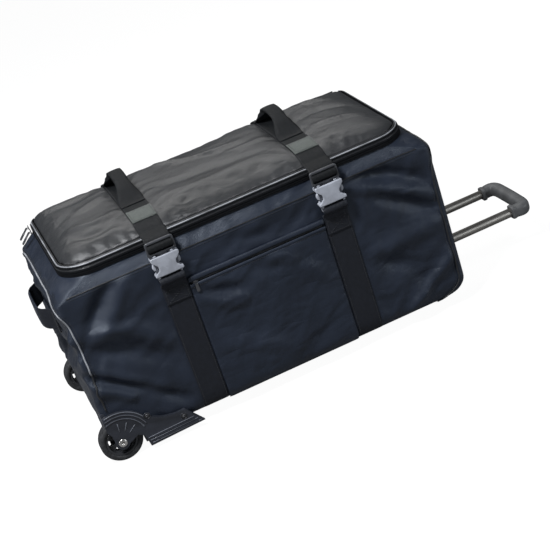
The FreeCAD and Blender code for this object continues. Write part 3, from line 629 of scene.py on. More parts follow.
def refine(name, body, material, width=0.7, angle=28):
    """A copy of a CAD node's mesh with its flat faces merged and its edges rounded."""
    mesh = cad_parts[name].data.copy()
    work = bmesh.new()
    work.from_mesh(mesh)
    bmesh.ops.remove_doubles(work, verts=work.verts, dist=0.005 * MM)
    bmesh.ops.dissolve_limit(work, angle_limit=math.radians(1), verts=work.verts, edges=work.edges)
    work.to_mesh(mesh)
    work.free()
    piece = add_object("soft_" + name, mesh)
    bevel = piece.modifiers.new("Bevel", "BEVEL")
    bevel.width = width * MM
    bevel.segments = 3
    bevel.limit_method = "ANGLE"
    bevel.angle_limit = math.radians(angle)
    bevel.use_clamp_overlap = True
    apply_modifiers(piece)
    shade_smooth(piece)
    sharpen(piece, 34)
    return finish_piece(piece, body, material, [name])


# ---------------------------------------------------------------- stitches

STITCHES = {}


def stitch(body, path, normals, pitch=4.2, length=2.9, radius=0.42, lift=0.25):
    """Lays a row of short threads along a line on a surface."""
    path, normals = np.asarray(path, float), np.asarray(normals, float)
    travelled = distance_along(path)
    points, faces = STITCHES.setdefault(body, ([], []))
    for start in np.arange(pitch / 2, travelled[-1] - length, pitch):
        ends = [point_at(s, travelled, path) for s in (start, start + length)]
        up = point_at(start, travelled, normals)
        along = (ends[1] - ends[0]) / max(np.linalg.norm(ends[1] - ends[0]), 1e-6)
        side = np.cross(along, up)
        first = len(points)
        points.append(ends[0] - up * radius)
        for t in (0.25, 0.75):
            middle = ends[0] * (1 - t) + ends[1] * t + up * lift
            points.extend([middle + side * radius, middle + up * radius, middle - side * radius,
                           middle - up * radius])
        points.append(ends[1] - up * radius)
        for k in range(4):
            n = (k + 1) % 4
            faces.extend([(first, first + 1 + n, first + 1 + k), (first + 9, first + 5 + k, first + 5 + n),
                          (first + 1 + k, first + 1 + n, first + 5 + n, first + 5 + k)])


def make_stitches():
    for body, (points, faces) in STITCHES.items():
        mesh_piece(f"stitching_{body}", points, faces, body, "thread")


# ---------------------------------------------------------------- outlines of the body

STRAIGHT_LONG, STRAIGHT_SHORT, CORNER_STEPS = 96, 44, 7


def ring(xs, ys, radii, z):
    """One horizontal ring of points, counter-clockwise from the front's wheel-end corner.

    The radii are those of the front corners and of the rear corners."""
    (x0, x1), (y0, y1) = xs, ys
    front, rear = radii
    corners = [((x1 - front, y0 + front), -90, front), ((x1 - rear, y1 - rear), 0, rear),
               ((x0 + rear, y1 - rear), 90, rear), ((x0 + front, y0 + front), 180, front)]
    out = []
    for i, ((cx, cy), start, radius) in enumerate(corners):
        (px, py), _, before = corners[i - 1]
        first = (px + before * math.cos(math.radians(start)), py + before * math.sin(math.radians(start)))
        last = (cx + radius * math.cos(math.radians(start)), cy + radius * math.sin(math.radians(start)))
        count = STRAIGHT_SHORT if i % 2 else STRAIGHT_LONG
        for k in range(count):
            t = k / count
            out.append((first[0] * (1 - t) + last[0] * t, first[1] * (1 - t) + last[1] * t, z))
        for k in range(CORNER_STEPS):
            a = math.radians(start + 90 * k / CORNER_STEPS)
            out.append((cx + radius * math.cos(a), cy + radius * math.sin(a), z))
    return out


def cap_faces(first):
    """Faces that close the ring whose points start at an index: strips between its long sides, then its ends."""
    turn = STRAIGHT_LONG + STRAIGHT_SHORT + 2 * CORNER_STEPS
    strips = [(k, k + 1, turn + STRAIGHT_LONG - k - 1, turn + STRAIGHT_LONG - k) for k in range(STRAIGHT_LONG)]
    ends = [tuple(range(STRAIGHT_LONG, turn + 1)), (*range(turn + STRAIGHT_LONG, 2 * turn), 0)]
    return [tuple(first + k for k in face) for face in strips + ends]


def mouth_line(margin, z, closed=False):
    """Points round the mouth, grown by a margin, from the rear's wheel-end corner; the rear run closes it."""
    front, rear = MOUTH_RADII
    (x0, x1), (y0, y1) = MOUTH_X, MOUTH_Y
    corners = [((x0 + rear, y1 - rear), 90, rear, 26), ((x0 + front, y0 + front), 180, front, 60),
               ((x1 - front, y0 + front), 270, front, 26), ((x1 - rear, y1 - rear), 0, rear, 60)]
    out = []
    for i, ((cx, cy), start, radius, count) in enumerate(corners):
        angles = [math.radians(start + 90 * k / 14) for k in range(15)]
        out += [(cx + (radius + margin) * math.cos(a), cy + (radius + margin) * math.sin(a), z) for a in angles]
        (nx, ny), _, following, _ = corners[(i + 1) % 4]
        if i < 3 or closed:
            a = angles[-1]
            reach = following + margin
            here, there = np.array(out[-1]), np.array((nx + reach * math.cos(a), ny + reach * math.sin(a), z))
            out += [tuple(here * (1 - k / count) + there * k / count) for k in range(1, count)]
    return np.array(out)


def band(name, profile, body, material, replaces=(), stop=None, closed=False):
    """A strip round the mouth from a closed profile of (margin, z) points."""
    sections = [mouth_line(margin, z, closed) for margin, z in profile]
    grid = np.stack(sections, axis=1)
    if stop is not None:
        grid = grid[grid[:, 0, 1] <= stop]
    count = len(profile)
    faces = grid_faces(len(grid), count, closed, True)
    if not closed:
        faces += end_faces(len(grid), count)
    flat = np.stack([np.broadcast_to(np.arange(count) * 1.2, grid.shape[:2]), lengths(grid, 0),
                     np.zeros(grid.shape[:2])], axis=2)
    return mesh_piece(name, grid.reshape(-1, 3), faces, body, material, replaces, flat.reshape(-1, 3))


# ---------------------------------------------------------------- soft shell

DIVIDER_Z = span("compartment_floor")[1][2]
BASE_ROUND_Z, BASE_ROUND_Y, BASE_ROUND_WHEEL, BASE_ROUND_HANDLE = 38, 24, 12, 52


def tub_rows():
    """Rings of the soft shell from the middle of its base, up the walls and over the border to the mouth."""
    rows = []
    for inset in np.linspace(HALF_Y - CORNER, BASE_ROUND_HANDLE, 15):
        edge = min(inset, HALF_Y - 0.5)
        rows.append(ring((-HALF_X + edge, HALF_X - edge), (-HALF_Y + edge, HALF_Y - edge), (CORNER, CORNER),
                         FLOOR_Z))
    for k in range(1, 9):
        a = math.radians(90 * k / 8)
        inset, z = 1 - math.sin(a), FLOOR_Z + BASE_ROUND_Z * (1 - math.cos(a))
        rows.append(ring((-HALF_X + BASE_ROUND_WHEEL * inset, HALF_X - BASE_ROUND_HANDLE * inset),
                         (-HALF_Y + BASE_ROUND_Y * inset, HALF_Y - BASE_ROUND_Y * inset), (CORNER, CORNER), z))
    for z in np.linspace(FLOOR_Z + BASE_ROUND_Z, SEAM_Z, 39)[1:]:
        rows.append(ring((-HALF_X, HALF_X), (-HALF_Y, HALF_Y), (CORNER, CORNER), z))
    top = 4
    for t in (0.14, 0.28, 0.42, 0.57, 0.72, 0.87, 1.0):
        turn = t ** 1.12
        xs = (-HALF_X + (MOUTH_X[0] - top + HALF_X) * turn, HALF_X + (MOUTH_X[1] + top - HALF_X) * turn)
        ys = (-HALF_Y + (MOUTH_Y[0] - top + HALF_Y) * turn, HALF_Y + (MOUTH_Y[1] + top - HALF_Y) * turn)
        radii = [CORNER + (radius + top - CORNER) * turn for radius in MOUTH_RADII]
        rows.append(ring(xs, ys, radii, SEAM_Z + (ZIP_LOW - SEAM_Z) * t))
    for z in (ZIP_LOW + 4, ZIP_LOW + 8, MOUTH_Z):
        rows.append(ring((MOUTH_X[0] - top, MOUTH_X[1] + top), (MOUTH_Y[0] - top, MOUTH_Y[1] + top),
                         [radius + top for radius in MOUTH_RADII], z))
    return np.array(rows)


def held(point):
    """True where the shell is sewn or backed by something stiff, so that it does not move."""
    x, y, z = point
    if z < FLOOR_Z + 9 or z > SEAM_Z - 3:
        return True
    if abs(x) > HALF_X - 16 and abs(y) > HALF_Y - 16 and (x > 0 or not 125 < z < 325):
        return True
    if abs(abs(x) - abs(STRAP_X)) < WEB / 2 + 3 and abs(y) > HALF_Y - 8:
        return True
    if y < 8 - HALF_Y and abs(x) < 141 and z < 296:
        return True
    wells = x < -292 and abs(y) > 140 and z < 116
    bezel = x > HALF_X - 8 and abs(y) < 96 and z < 116
    grab = x < 8 - HALF_X and 250 < z < 318 and 62 < abs(y) < 100
    return wells or bezel or grab


def simulate(piece, pinned, growth, pressure, bending, cap, seed):
    """Lets slack cloth buckle and fill, and keeps how far each point moved under a cap, in millimetres."""
    mesh = piece.data
    count = len(mesh.vertices)
    before = np.zeros(count * 3, np.float32)
    mesh.vertices.foreach_get("co", before)
    before = before.reshape(-1, 3)
    nudged = before + np.random.default_rng(seed).normal(0, 0.0002, before.shape) * (1 - pinned[:, None])
    mesh.vertices.foreach_set("co", nudged.astype(np.float32).ravel())
    group = piece.vertex_groups.new(name="pins")
    for index, weight in enumerate(pinned):
        if weight > 0:
            group.add([index], float(weight), "REPLACE")
    cloth = piece.modifiers.new("Cloth", "CLOTH")
    settings = cloth.settings
    settings.quality = 5
    settings.mass = 0.3
    settings.bending_stiffness = bending
    settings.shrink_min = -growth
    settings.vertex_group_mass = "pins"
    settings.use_pressure = pressure != 0
    settings.uniform_pressure_force = pressure
    settings.effector_weights.gravity = 0
    scene = bpy.context.scene
    frames = 20
    cloth.point_cache.frame_end = frames
    for number in range(1, frames + 1):
        scene.frame_set(number)
    result = piece.evaluated_get(bpy.context.evaluated_depsgraph_get()).data
    after = np.zeros(count * 3, np.float32)
    result.vertices.foreach_get("co", after)
    move = after.reshape(-1, 3) - before
    size = np.linalg.norm(move, axis=1, keepdims=True)
    limit = cap * MM
    move *= np.minimum(1.0, limit * np.tanh(size / limit) / np.maximum(size, 1e-9))
    piece.modifiers.remove(cloth)
    piece.vertex_groups.remove(group)
    scene.frame_set(1)
    mesh.vertices.foreach_set("co", (before + move).astype(np.float32).ravel())
    mesh.update()


FRONT_FOLDS = [  # (points in x and z, width, height; below nought is a valley)
    ([(-275, 350), (-305, 318), (-355, 258)], 15, -7),
    ([(-250, 350), (-290, 290), (-345, 235)], 16, 4),
    ([(-375, 208), (-305, 155), (-230, 95)], 9, 5),
    ([(-378, 192), (-295, 130), (-202, 58)], 11, -9),
    ([(-370, 166), (-330, 140), (-283, 106)], 14, 7),
    ([(-363, 245), (-270, 198), (-195, 135)], 20, -6),
    ([(-356, 270), (-270, 248), (-195, 186)], 18, 5),
    ([(195, 360), (300, 322), (375, 268)], 15, -7),
    ([(215, 330), (300, 290), (370, 246)], 15, 6),
    ([(250, 300), (340, 236), (380, 204)], 13, -6),
    ([(372, 200), (280, 192), (200, 186)], 17, 5),
    ([(376, 128), (306, 76), (245, 34)], 11, 7),
    ([(225, 165), (295, 115), (325, 55)], 20, -6),
    ([(-139, 272), (-98, 250), (-50, 240)], 11, -4),
    ([(-139, 248), (-78, 222), (-38, 214)], 13, 4),
    ([(40, 250), (100, 180), (138, 120)], 24, 4),
    ([(-138, 150), (-60, 120), (40, 60)], 22, 4),
    ([(-60, 340), (20, 318), (130, 322)], 18, -3),
]
REAR_FOLDS = [
    ([(-360, 260), (-290, 180), (-200, 120)], 20, 6), ([(-350, 320), (-280, 300), (-200, 240)], 18, -6),
    ([(-130, 330), (-20, 270), (130, 240)], 26, 5), ([(-130, 200), (-10, 140), (120, 130)], 24, -5),
    ([(200, 330), (290, 290), (370, 200)], 18, 6), ([(200, 180), (300, 130), (365, 60)], 20, -5),
]
END_FOLDS = [  # points in y and z
    ([(-170, 330), (-90, 345), (20, 335), (165, 345)], 11, 4),
    ([(-168, 240), (-60, 215), (80, 225), (168, 250)], 16, -6),
    ([(-150, 190), (0, 175), (150, 200)], 15, 5), ([(-130, 120), (0, 110), (130, 130)], 15, -4),
    ([(-172, 300), (-130, 255), (-120, 190)], 11, -5), ([(172, 300), (130, 250), (120, 180)], 11, -5),
]


def fold(flat, folds):
    """How far a list of folds lifts each of the flat points."""
    lift = np.zeros(len(flat))
    for points, width, height in folds:
        line = smooth_line([(*p, 0) for p in points], 12.0)[:, :2]
        progress = np.linspace(0, 1, len(line))
        gaps = np.linalg.norm(flat[:, None, :] - line[None, :, :], axis=2)
        nearest = gaps.argmin(axis=1)
        fade = np.sin(np.clip(progress[nearest] * 0.9 + 0.08, 0, 1) * math.pi) ** 0.6
        lift += height * fade * np.exp(-(gaps.min(axis=1) / width) ** 2)
    return lift


def crumple(flat, size, height, slant, seed):
    """Small random creases, mostly along one slant in degrees, as worn cloth has between its big folds."""
    turn = math.radians(slant)
    along = flat[:, 0] * math.cos(turn) + flat[:, 1] * math.sin(turn)
    side = flat[:, 1] * math.cos(turn) - flat[:, 0] * math.sin(turn)
    out = np.empty(len(flat))
    for i, (a, b) in enumerate(zip(along, side)):
        bend = noise.noise((a / size / 2, b / size / 2, seed + 9.0)) * 0.9
        ridge = 1 - abs(noise.noise((a / size / 2.6 + bend, b / size + bend, seed))) * 2.4
        patch = 0.35 + 0.65 * max(0.0, min(1.0, 0.5 + 1.6 * noise.noise((a / 150, b / 110, seed + 4.0))))
        out[i] = (max(ridge, 0.0) ** 2 - 0.35) * patch * height
    return out


def add_folds(piece):
    """Presses the listed folds into the four sides of the shell and lets the border sag a little."""
    points = bag_points(piece)
    free = np.array([0.0 if held(p) else 1.0 for p in points])
    x, y, z = points.T
    behind_pocket = (y < 12 - HALF_Y) & (np.abs(x) < 128) & (z > 48) & (z < 268)
    points[behind_pocket, 1] += 9
    sides = [(points[:, 1] < 12 - HALF_Y, (0, 2), FRONT_FOLDS, (0, -1, 0), 38, 3.0),
             (points[:, 1] > HALF_Y - 12, (0, 2), REAR_FOLDS, (0, 1, 0), -30, 3.0),
             (points[:, 0] < 12 - HALF_X, (1, 2), END_FOLDS, (-1, 0, 0), 10, 4.0),
             (points[:, 0] > HALF_X - 12, (1, 2), END_FOLDS[:4], (1, 0, 0), 20, 3.0)]
    for seed, (chosen, axes, folds, direction, slant, height) in enumerate(sides):
        flat = points[chosen][:, axes]
        lift = (fold(flat, folds) * 2.1 + crumple(flat, 44, height * 1.8, slant, seed)
                + crumple(flat, 21, height * 0.45, slant + 40, seed + 20)) * free[chosen]
        edge = np.clip((SEAM_Z + 4 - points[chosen][:, 2]) / 14, 0, 1)
        shelf = np.exp(-((points[chosen][:, 2] - DIVIDER_Z) / 20) ** 2)
        lift = np.where(lift < 0, lift * (1 - 0.75 * shelf), lift)
        points[chosen] += np.outer(lift * edge, direction)
    x, y, z = points.T
    border = np.clip((z - SEAM_Z + 4) / 6, 0, 1) * np.clip((ZIP_LOW - z) / 5, 0, 1)
    outward = np.stack([x / HALF_X, y / HALF_Y], axis=1)
    from_middle = np.hypot(np.maximum(np.abs(x) - HALF_X + 70, 0), np.maximum(np.abs(y) - HALF_Y + 70, 0))
    corner = np.clip((from_middle - 70) / 22, 0, 1)
    around = np.stack([np.where(np.abs(x) > HALF_X - 30, y, x), z * 1.5], axis=1)
    sag = border * (1.5 + 5 * corner - crumple(around, 30, 1.6, 70, 51))
    ends = np.abs(x) > HALF_X - 32
    points[:, 0] -= np.where(ends, sag, 0) * np.sign(outward[:, 0])
    points[:, 1] -= np.where(ends, 0, sag) * np.sign(outward[:, 1])
    points[:, 2] -= 0.7 * sag
    wells = (np.abs(y) > HALF_Y - 9) & (x < -292) & (z < 118) & (z > 52)
    points[wells, 1] += 1.3 * np.sign(points[wells, 1])
    move_points(piece, points)
    piece.data.update()


def cut_wells(piece):
    """Opens the shell where the wheel housings sit."""
    work = bmesh.new()
    work.from_mesh(piece.data)
    top, length = 112, -300
    centre = span("tyre_front")
    axle = ((centre[0][0] + centre[1][0]) / 2, (centre[0][2] + centre[1][2]) / 2)
    gone = []
    for face in work.faces:
        x, y, z = (np.array(face.calc_center_median()) - MIDDLE) / MM
        side = abs(y) > HALF_Y - 9 and x > 8 - HALF_X
        behind_cheek = math.hypot(x - axle[0], z - axle[1]) < 58 or z < axle[1]
        if x < length and z < top and abs(y) > 146 and (not side or behind_cheek):
            gone.append(face)
    bmesh.ops.delete(work, geom=gone, context="FACES")
    work.to_mesh(piece.data)
    work.free()


def make_shell():
    """The bag's soft body: one lofted shell, slack between its seams, with folds and a lining."""
    rows = tub_rows()
    count, columns, _ = rows.shape
    flat = np.stack([lengths(np.concatenate([rows, rows[:, :1]], axis=1), 1)[:, :-1], lengths(rows, 0),
                     np.zeros((count, columns))], axis=2)
    flat[:, :, 0] = flat[count // 2, :, 0]
    faces = grid_faces(count, columns, False, True) + cap_faces(0)
    piece = mesh_piece("bag_shell", rows.reshape(-1, 3), faces, material="body", cloth=flat.reshape(-1, 3))
    points = bag_points(piece)
    pinned = np.array([1.0 if held(p) else 0.0 for p in points])
    simulate(piece, pinned, 0.035, 1.2, 6.0, 7.0, 3)
    add_folds(piece)
    cut_wells(piece)
    piece.data.materials.append(MATERIALS["gusset"])
    piece.data.materials.append(MATERIALS["lining"])
    for face in piece.data.polygons:
        x, y, z = (np.array(face.center) - MIDDLE) / MM
        if x < 10 - HALF_X and abs(y) < HALF_Y - 10 and z < SEAM_Z + 4:
            face.material_index = 1
    smooth = piece.modifiers.new("Subdivision", "SUBSURF")
    smooth.levels = smooth.render_levels = 1
    apply_modifiers(piece)
    surface = surface_of(piece)
    thick = piece.modifiers.new("Solidify", "SOLIDIFY")
    thick.thickness = 3 * MM
    thick.offset = -1
    thick.material_offset = 2
    thick.material_offset_rim = 0
    apply_modifiers(piece)
    finish_piece(piece, "bag", None, [
        "front_panel", "rear_panel", "wheel_end_panel", "handle_end_panel", "base_panel", "front_zip_border",
        "rear_hinge_border", "end_borders"])
    return surface


def drop(surface, points, direction, lift):
    """Moves points in the bag's frame along a direction until they meet a surface, then lifts them off it."""
    towards = Vector(direction).normalized()
    out = []
    for point in np.asarray(points, float):
        start = Vector(tuple(place(point)[0])) - towards * 0.25
        hit = surface.ray_cast(start, towards)[0]
        found = (np.array(hit) - MIDDLE) / MM if hit is not None else point
        out.append(found - np.array(towards) * lift)
    return np.array(out)


def snap(surface, points, lift):
    """The nearest points of a surface and its normals, for lines that follow a seam."""
    out, normals = [], []
    for point in np.asarray(points, float):
        hit, normal, _, _ = surface.find_nearest(Vector(tuple(place(point)[0])))
        normal = np.array(normal)
        found = (np.array(hit) - MIDDLE) / MM
        if normal.dot(found * (1, 1, 0.2)) < 0:
            normal = -normal
        out.append(found + normal * lift)
        normals.append(normal)
    return np.array(out), np.array(normals)


# ---------------------------------------------------------------- lid

LID_RIM_Z, LID_TOP_Z = LID_LOW[2], LID_HIGH[2]
LID_FOLDS = [  # points in x and y
    ([(80, 47), (0, 55), (-88, 120)], 9, 3.0), ([(95, 20), (30, 30), (-40, 90)], 9, -2.5),
    ([(122, 12), (55, 20), (-17, 67)], 9, 2.4), ([(-195, -40), (-250, -65), (-318, -32)], 11, 3.4),
    ([(-224, -99), (-269, -102), (-310, -73)], 13, -3.4), ([(-192, 69), (-237, 36), (-271, 22)], 10, 2.6),
    ([(-200, 120), (-260, 95), (-320, 110)], 12, -2.6), ([(324, -58), (269, -44), (203, -36)], 10, 2.8),
    ([(294, 93), (266, 104), (232, 108)], 12, 2.6), ([(310, 20), (260, 40), (205, 30)], 12, -2.6),
    ([(-110, -60), (-20, -90), (90, -70)], 20, 2.4), ([(-100, -20), (0, -30), (110, -60)], 18, -2.2),
]


def lid_ring(inset, z):
    """The lid's outline at one height, drawn in from the mouth's."""
    front, rear = (max(radius - inset, 8) for radius in MOUTH_RADII)
    return ring((MOUTH_X[0] + inset, MOUTH_X[1] - inset), (MOUTH_Y[0] + inset, MOUTH_Y[1] - 1 - inset),
                (front, rear), z)


def make_lid():
    """The lid: one padded panel, fuller between the straps, creased and slightly slack."""
    top = [(0.3, LID_RIM_Z + 1.2), (1.5, LID_RIM_Z + 4), (5, LID_RIM_Z + 8.5), (11, LID_RIM_Z + 13),
           (20, LID_RIM_Z + 17.5), (32, LID_RIM_Z + 21.5), (46, LID_RIM_Z + 24.5), (62, LID_TOP_Z - 0.6),
           (80, LID_TOP_Z), (110, LID_TOP_Z), (150, LID_TOP_Z)]
    under = [(150, LID_TOP_Z - 10), (110, LID_TOP_Z - 10), (80, LID_TOP_Z - 10), (60, LID_TOP_Z - 11),
             (44, LID_TOP_Z - 14), (28, LID_TOP_Z - 19), (14, LID_RIM_Z + 2), (4, LID_RIM_Z + 0.4)]
    rows = [lid_ring(inset, z) for inset, z in top + under]
    columns = len(rows[0])
    inner = len(top) - 1
    faces = [face for face in grid_faces(len(rows), columns, True, True)
             if not (min(face) // columns == inner and max(face) // columns == inner + 1)]
    faces += cap_faces(inner * columns) + cap_faces((inner + 1) * columns)
    piece = mesh_piece("lid_pad", np.array(rows).reshape(-1, 3), faces, material="lid")
    moulded(piece, 5.5, 2)
    points = bag_points(piece)
    under_strap = np.abs(np.abs(points[:, 0]) - abs(STRAP_X)) < WEB / 2
    rim = (points[:, 2] < LID_RIM_Z + 7)
    simulate(piece, np.where(under_strap | rim, 1.0, 0.0), 0.01, 3.0, 9.0, 3.0, 5)
    points = bag_points(piece)
    strap_gap = np.abs(np.abs(points[:, 0]) - abs(STRAP_X)) - WEB / 2
    free = np.clip(strap_gap / 10, 0, 1) * np.clip((points[:, 2] - LID_RIM_Z - 8) / 10, 0, 1)
    creases = fold(points[:, :2], LID_FOLDS) * 2.2
    creases += crumple(points[:, :2], 34, 1.2, -28, 31) + crumple(points[:, :2], 14, 0.25, 15, 37)
    points[:, 2] += creases * free
    points[:, 2] += 2.2 * np.clip(strap_gap / 45, 0, 1) * free
    slope = np.clip((points[:, 0] - 215) / 125, 0, 1) ** 1.6
    points[:, 2] -= slope * 0.42 * np.maximum(points[:, 2] - LID_RIM_Z - 3, 0)
    points[:, 2] = np.where(strap_gap < 0, np.minimum(points[:, 2], LID_TOP_Z + 0.2), points[:, 2])
    move_points(piece, points)
    flat = points.copy()
    flat[:, 2] = 0
    piece.data.attributes.new("cloth", "FLOAT_VECTOR", "POINT").data.foreach_set(
        "vector", flat.astype(np.float32).ravel())
    smooth = piece.modifiers.new("Subdivision", "SUBSURF")
    smooth.levels = smooth.render_levels = 1
    apply_modifiers(piece)
    piece.data.materials.append(MATERIALS["lining"])
    for face in piece.data.polygons:
        face.use_smooth = True
        inset = face.center.z < (LID_TOP_Z - 5) * MM
        if face.normal.z < -0.35 and inset:
            face.material_index = 1
    finish_piece(piece, "lid", None, ["lid_panel"])
    return surface_of(piece)


def make_mouth_trim():
    """The zip round the mouth, the light piping above it and the sewn hinge at the rear."""
    low, mid = ZIP_LOW - 1.5, MOUTH_Z - 1.5
    ribs = [(5.0, low), (6.8, low + 0.8), (6.4, low + 2.2), (5.6, low + 2.8), (6.3, low + 3.6), (6.4, low + 6.4),
            (5.6, low + 7.2), (6.4, low + 8.0), (6.5, mid - 0.6), (5.4, mid), (3.2, mid), (1.5, mid - 1.5),
            (1.5, low + 1)]
    band("zip_band_body", ribs, "bag", "tape", ["body_zip_tape"], closed=True)
    coil("zip_coil_body", mouth_line(5.2, MOUTH_Z - 0.7), "bag", 2.0, 1.0)
    lid_ribs = [(4.6, LID_RIM_Z - 1.9), (5.6, LID_RIM_Z - 1.2), (5.4, LID_RIM_Z + 0.3), (4.0, LID_RIM_Z + 0.9),
                (-8, LID_RIM_Z + 0.9), (-8, LID_RIM_Z - 0.8), (3.2, LID_RIM_Z - 1.9)]
    stop = MOUTH_Y[1] - 2
    band("zip_band_lid", lid_ribs, "lid", "tape", ["lid_zip_tape"], stop=stop)
    line = mouth_line(5.0, LID_RIM_Z - 2.3)
    coil("zip_coil_lid", line[line[:, 1] < stop], "lid", 2.0, 0.8)
    line = mouth_line(2.2, LID_RIM_Z + 3.0)
    tube("lid_edge_piping", line[line[:, 1] < stop], 1.4, "lid", "piping", ["lid_piping"], sides=14)
    flange = [(1.2, LID_RIM_Z + 0.6), (2.4, LID_RIM_Z + 1.2), (0.2, LID_RIM_Z + 6.2), (-1.4, LID_RIM_Z + 6.0)]
    band("lid_piping_flange", flange, "lid", "dark_piping", stop=stop)
    make_hinge()


def make_hinge():
    """The strip of webbing that the lid folds on, sewn to both sides of the rear edge."""
    rear = MOUTH_Y[1]
    section = smooth_line([(0, rear + 5.6, ZIP_LOW - 2), (0, rear + 6.0, ZIP_LOW + 6), (0, rear + 5.6, MOUTH_Z + 1),
                           (0, rear + 3.6, MOUTH_Z + 5), (0, rear - 0.5, MOUTH_Z + 8.5), (0, rear - 5, MOUTH_Z + 12),
                           (0, rear - 10, MOUTH_Z + 15.6)], 1.6)
    xs = np.linspace(MOUTH_X[0] + 20, MOUTH_X[1] - 20, 120)
    grid = np.array([[(x, y, z) for _, y, z in section] for x in xs])
    piece = slab("hinge_tape", grid, 1.4, material="binding")
    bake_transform(piece)


def coil(name, path, body, pitch, radius):
    """A zip's coil: a cord pinched at every turn."""
    travelled = distance_along(path)
    steps = np.arange(0, travelled[-1], pitch / 2)
    line = np.array([point_at(s, travelled, path) for s in steps])
    piece = tube(name, line, radius, body, "coil", sides=6)
    points = np.array([v.co for v in piece.data.vertices]).reshape(-1, 6, 3)
    centre = points.mean(axis=1, keepdims=True)
    grow = np.where(np.arange(len(points)) % 2 == 0, 1.0, 0.68)[:, None, None]
    piece.data.vertices.foreach_set("co", (centre + (points - centre) * grow).astype(np.float32).ravel())
    return piece


# ---------------------------------------------------------------- webbing

def strap_along(name, centre, path, width, thickness, body, material, replaces=(), columns=11):
    """A strap of even width along a path of (y, z) points, centred on x."""
    xs = across(width, columns)
    grid = np.array([[(centre + u, y, z) for u in xs] for y, z in path])
    return slab(name, grid, thickness, body, material, replaces)


def edge_stitches(body, centre, path, width, inset=3.0, above=1.4):
    """A row of stitches just inside both edges of a strap along a path of (y, z) points."""
    line = np.array([(0, y, z) for y, z in path], float)
    tangents = np.gradient(line, axis=0)
    normals = np.stack([np.zeros(len(line)), -tangents[:, 2], tangents[:, 1]], axis=1)
    normals /= np.linalg.norm(normals, axis=1, keepdims=True)
    if normals[len(normals) // 2, 2] < -0.1 or (abs(normals[len(normals) // 2, 2]) <= 0.1
                                                and normals[len(normals) // 2, 1] * line[0, 1] < 0):
        normals = -normals
    for side in (-1, 1):
        shifted = line + normals * above + np.array((centre + side * (width / 2 - inset), 0, 0))
        stitch(body, shifted, normals)


def box_stitch(body, points, normal):
    """Stitches round a closed shape with a cross inside it."""
    points = [np.array(p, float) for p in points]
    normals = np.array([normal, normal], float)
    for i, j in ((0, 1), (1, 2), (2, 3), (3, 0), (0, 2), (1, 3)):
        stitch(body, np.array([points[i], points[j]]), normals)


def lid_path(lid, centre, first, last, lift, step=3.0):
    """(y, z) points across the lid at one x, lifted off its top."""
    ys = np.arange(first, last, step)
    heights = []
    for offset in (-18, 0, 18):
        dropped = drop(lid, [(centre + offset, y, LID_TOP_Z) for y in ys], (0, 0, -1), lift)
        heights.append(dropped[:, 2])
    z = np.max(heights, axis=0)
    for _ in range(2):
        z[1:-1] = (z[:-2] + 2 * z[1:-1] + z[2:]) / 4
    return np.stack([ys, z], axis=1)


# Points as distances out from the front and up. REACH goes up through the buckle's frame and is measured from the
# frame's top; WRAP goes round the socket's bar and is measured from the socket's foot.
REACH = [(3.7, -26.8), (4.2, -23.7), (6.9, -21.2), (10.1, -18.8), (10.8, -14.5), (10.1, -10.2), (6.9, -7.4),
         (4.1, -5.0), (2.9, -1.4), (-2.5, 2.4), (-12.5, 4.3)]
WRAP = [(3.2, -49), (3.4, -21), (4.9, -10), (10.3, -4.8), (15.3, -1.8), (17.7, 2.5), (17.1, 7.6), (13.1, 10.8),
        (8.1, 11.6), (4.3, 8.6), (3.5, 1)]
BOX_OUT, BOX_CORNERS = 4.8, ((-1, -45), (1, -45), (1, -20), (-1, -20))


def make_straps(shell, lid):
    """The webbing over the lid, down the front, round the buckles' bars and down the rear."""
    frame_top, socket_low = span("buckle_frame_wheel_end")[1][2], span("buckle_socket_wheel_end")[0][2]
    for end, centre in STRAPS.items():
        over = lid_path(lid, centre, MOUTH_Y[0] + 6, MOUTH_Y[1] - 8, 1.5)
        climb = [(0, -HALF_Y - out, frame_top + up) for out, up in REACH]
        path = np.concatenate([smooth_line(climb + [(0, *over[0])], 2.0)[:-1, 1:], over])
        strap_along(f"lid_webbing_{end}", centre, path, WEB, 2.0, "lid", "lid_webbing", [f"lid_strap_{end}"])
        edge_stitches("lid", centre, over[2:-2], WEB)
        make_patch(end, centre, over)
        make_loop(end, centre, over)
        zs = np.arange(34, 306, 5.0)
        drape = drop(shell, [(centre, -HALF_Y, z) for z in zs], (0, 1, 0), 1.3)
        under = [(y, z) for _, y, z in drape]
        first = under[0]
        under = [(first[0] + 9, first[1] - 5), (first[0] + 3.5, first[1] - 3)] + under
        strap_along(f"front_webbing_{end}", centre, under, WEB, 2.0, "bag", "webbing", [f"front_strap_{end}"])
        edge_stitches("bag", centre, under[3:], WEB)
        wrap = smooth_line([(0, -HALF_Y - out, socket_low + up) for out, up in WRAP], 2.0)[:, 1:]
        strap_along(f"front_tab_{end}", centre, wrap, WEB - 0.6, 1.8, "bag", "webbing")
        sewn = -HALF_Y - BOX_OUT
        box_stitch("bag", [(centre + side * 21, sewn, socket_low + up) for side, up in BOX_CORNERS], (0, -1, 0))
        zs = np.arange(34, SEAM_Z + 14, 5.0)
        drape = drop(shell, [(centre, HALF_Y, z) for z in zs], (0, -1, 0), 1.3)
        path = [(y, z) for _, y, z in drape]
        path += [(MOUTH_Y[1] + 8.2, ZIP_LOW + 2), (MOUTH_Y[1] + 8.0, ZIP_LOW + 9)]
        strap_along(f"rear_webbing_{end}", centre, path, WEB, 2.0, "bag", "webbing", ["rear_straps"])
        edge_stitches("bag", centre, path[2:-4], WEB)


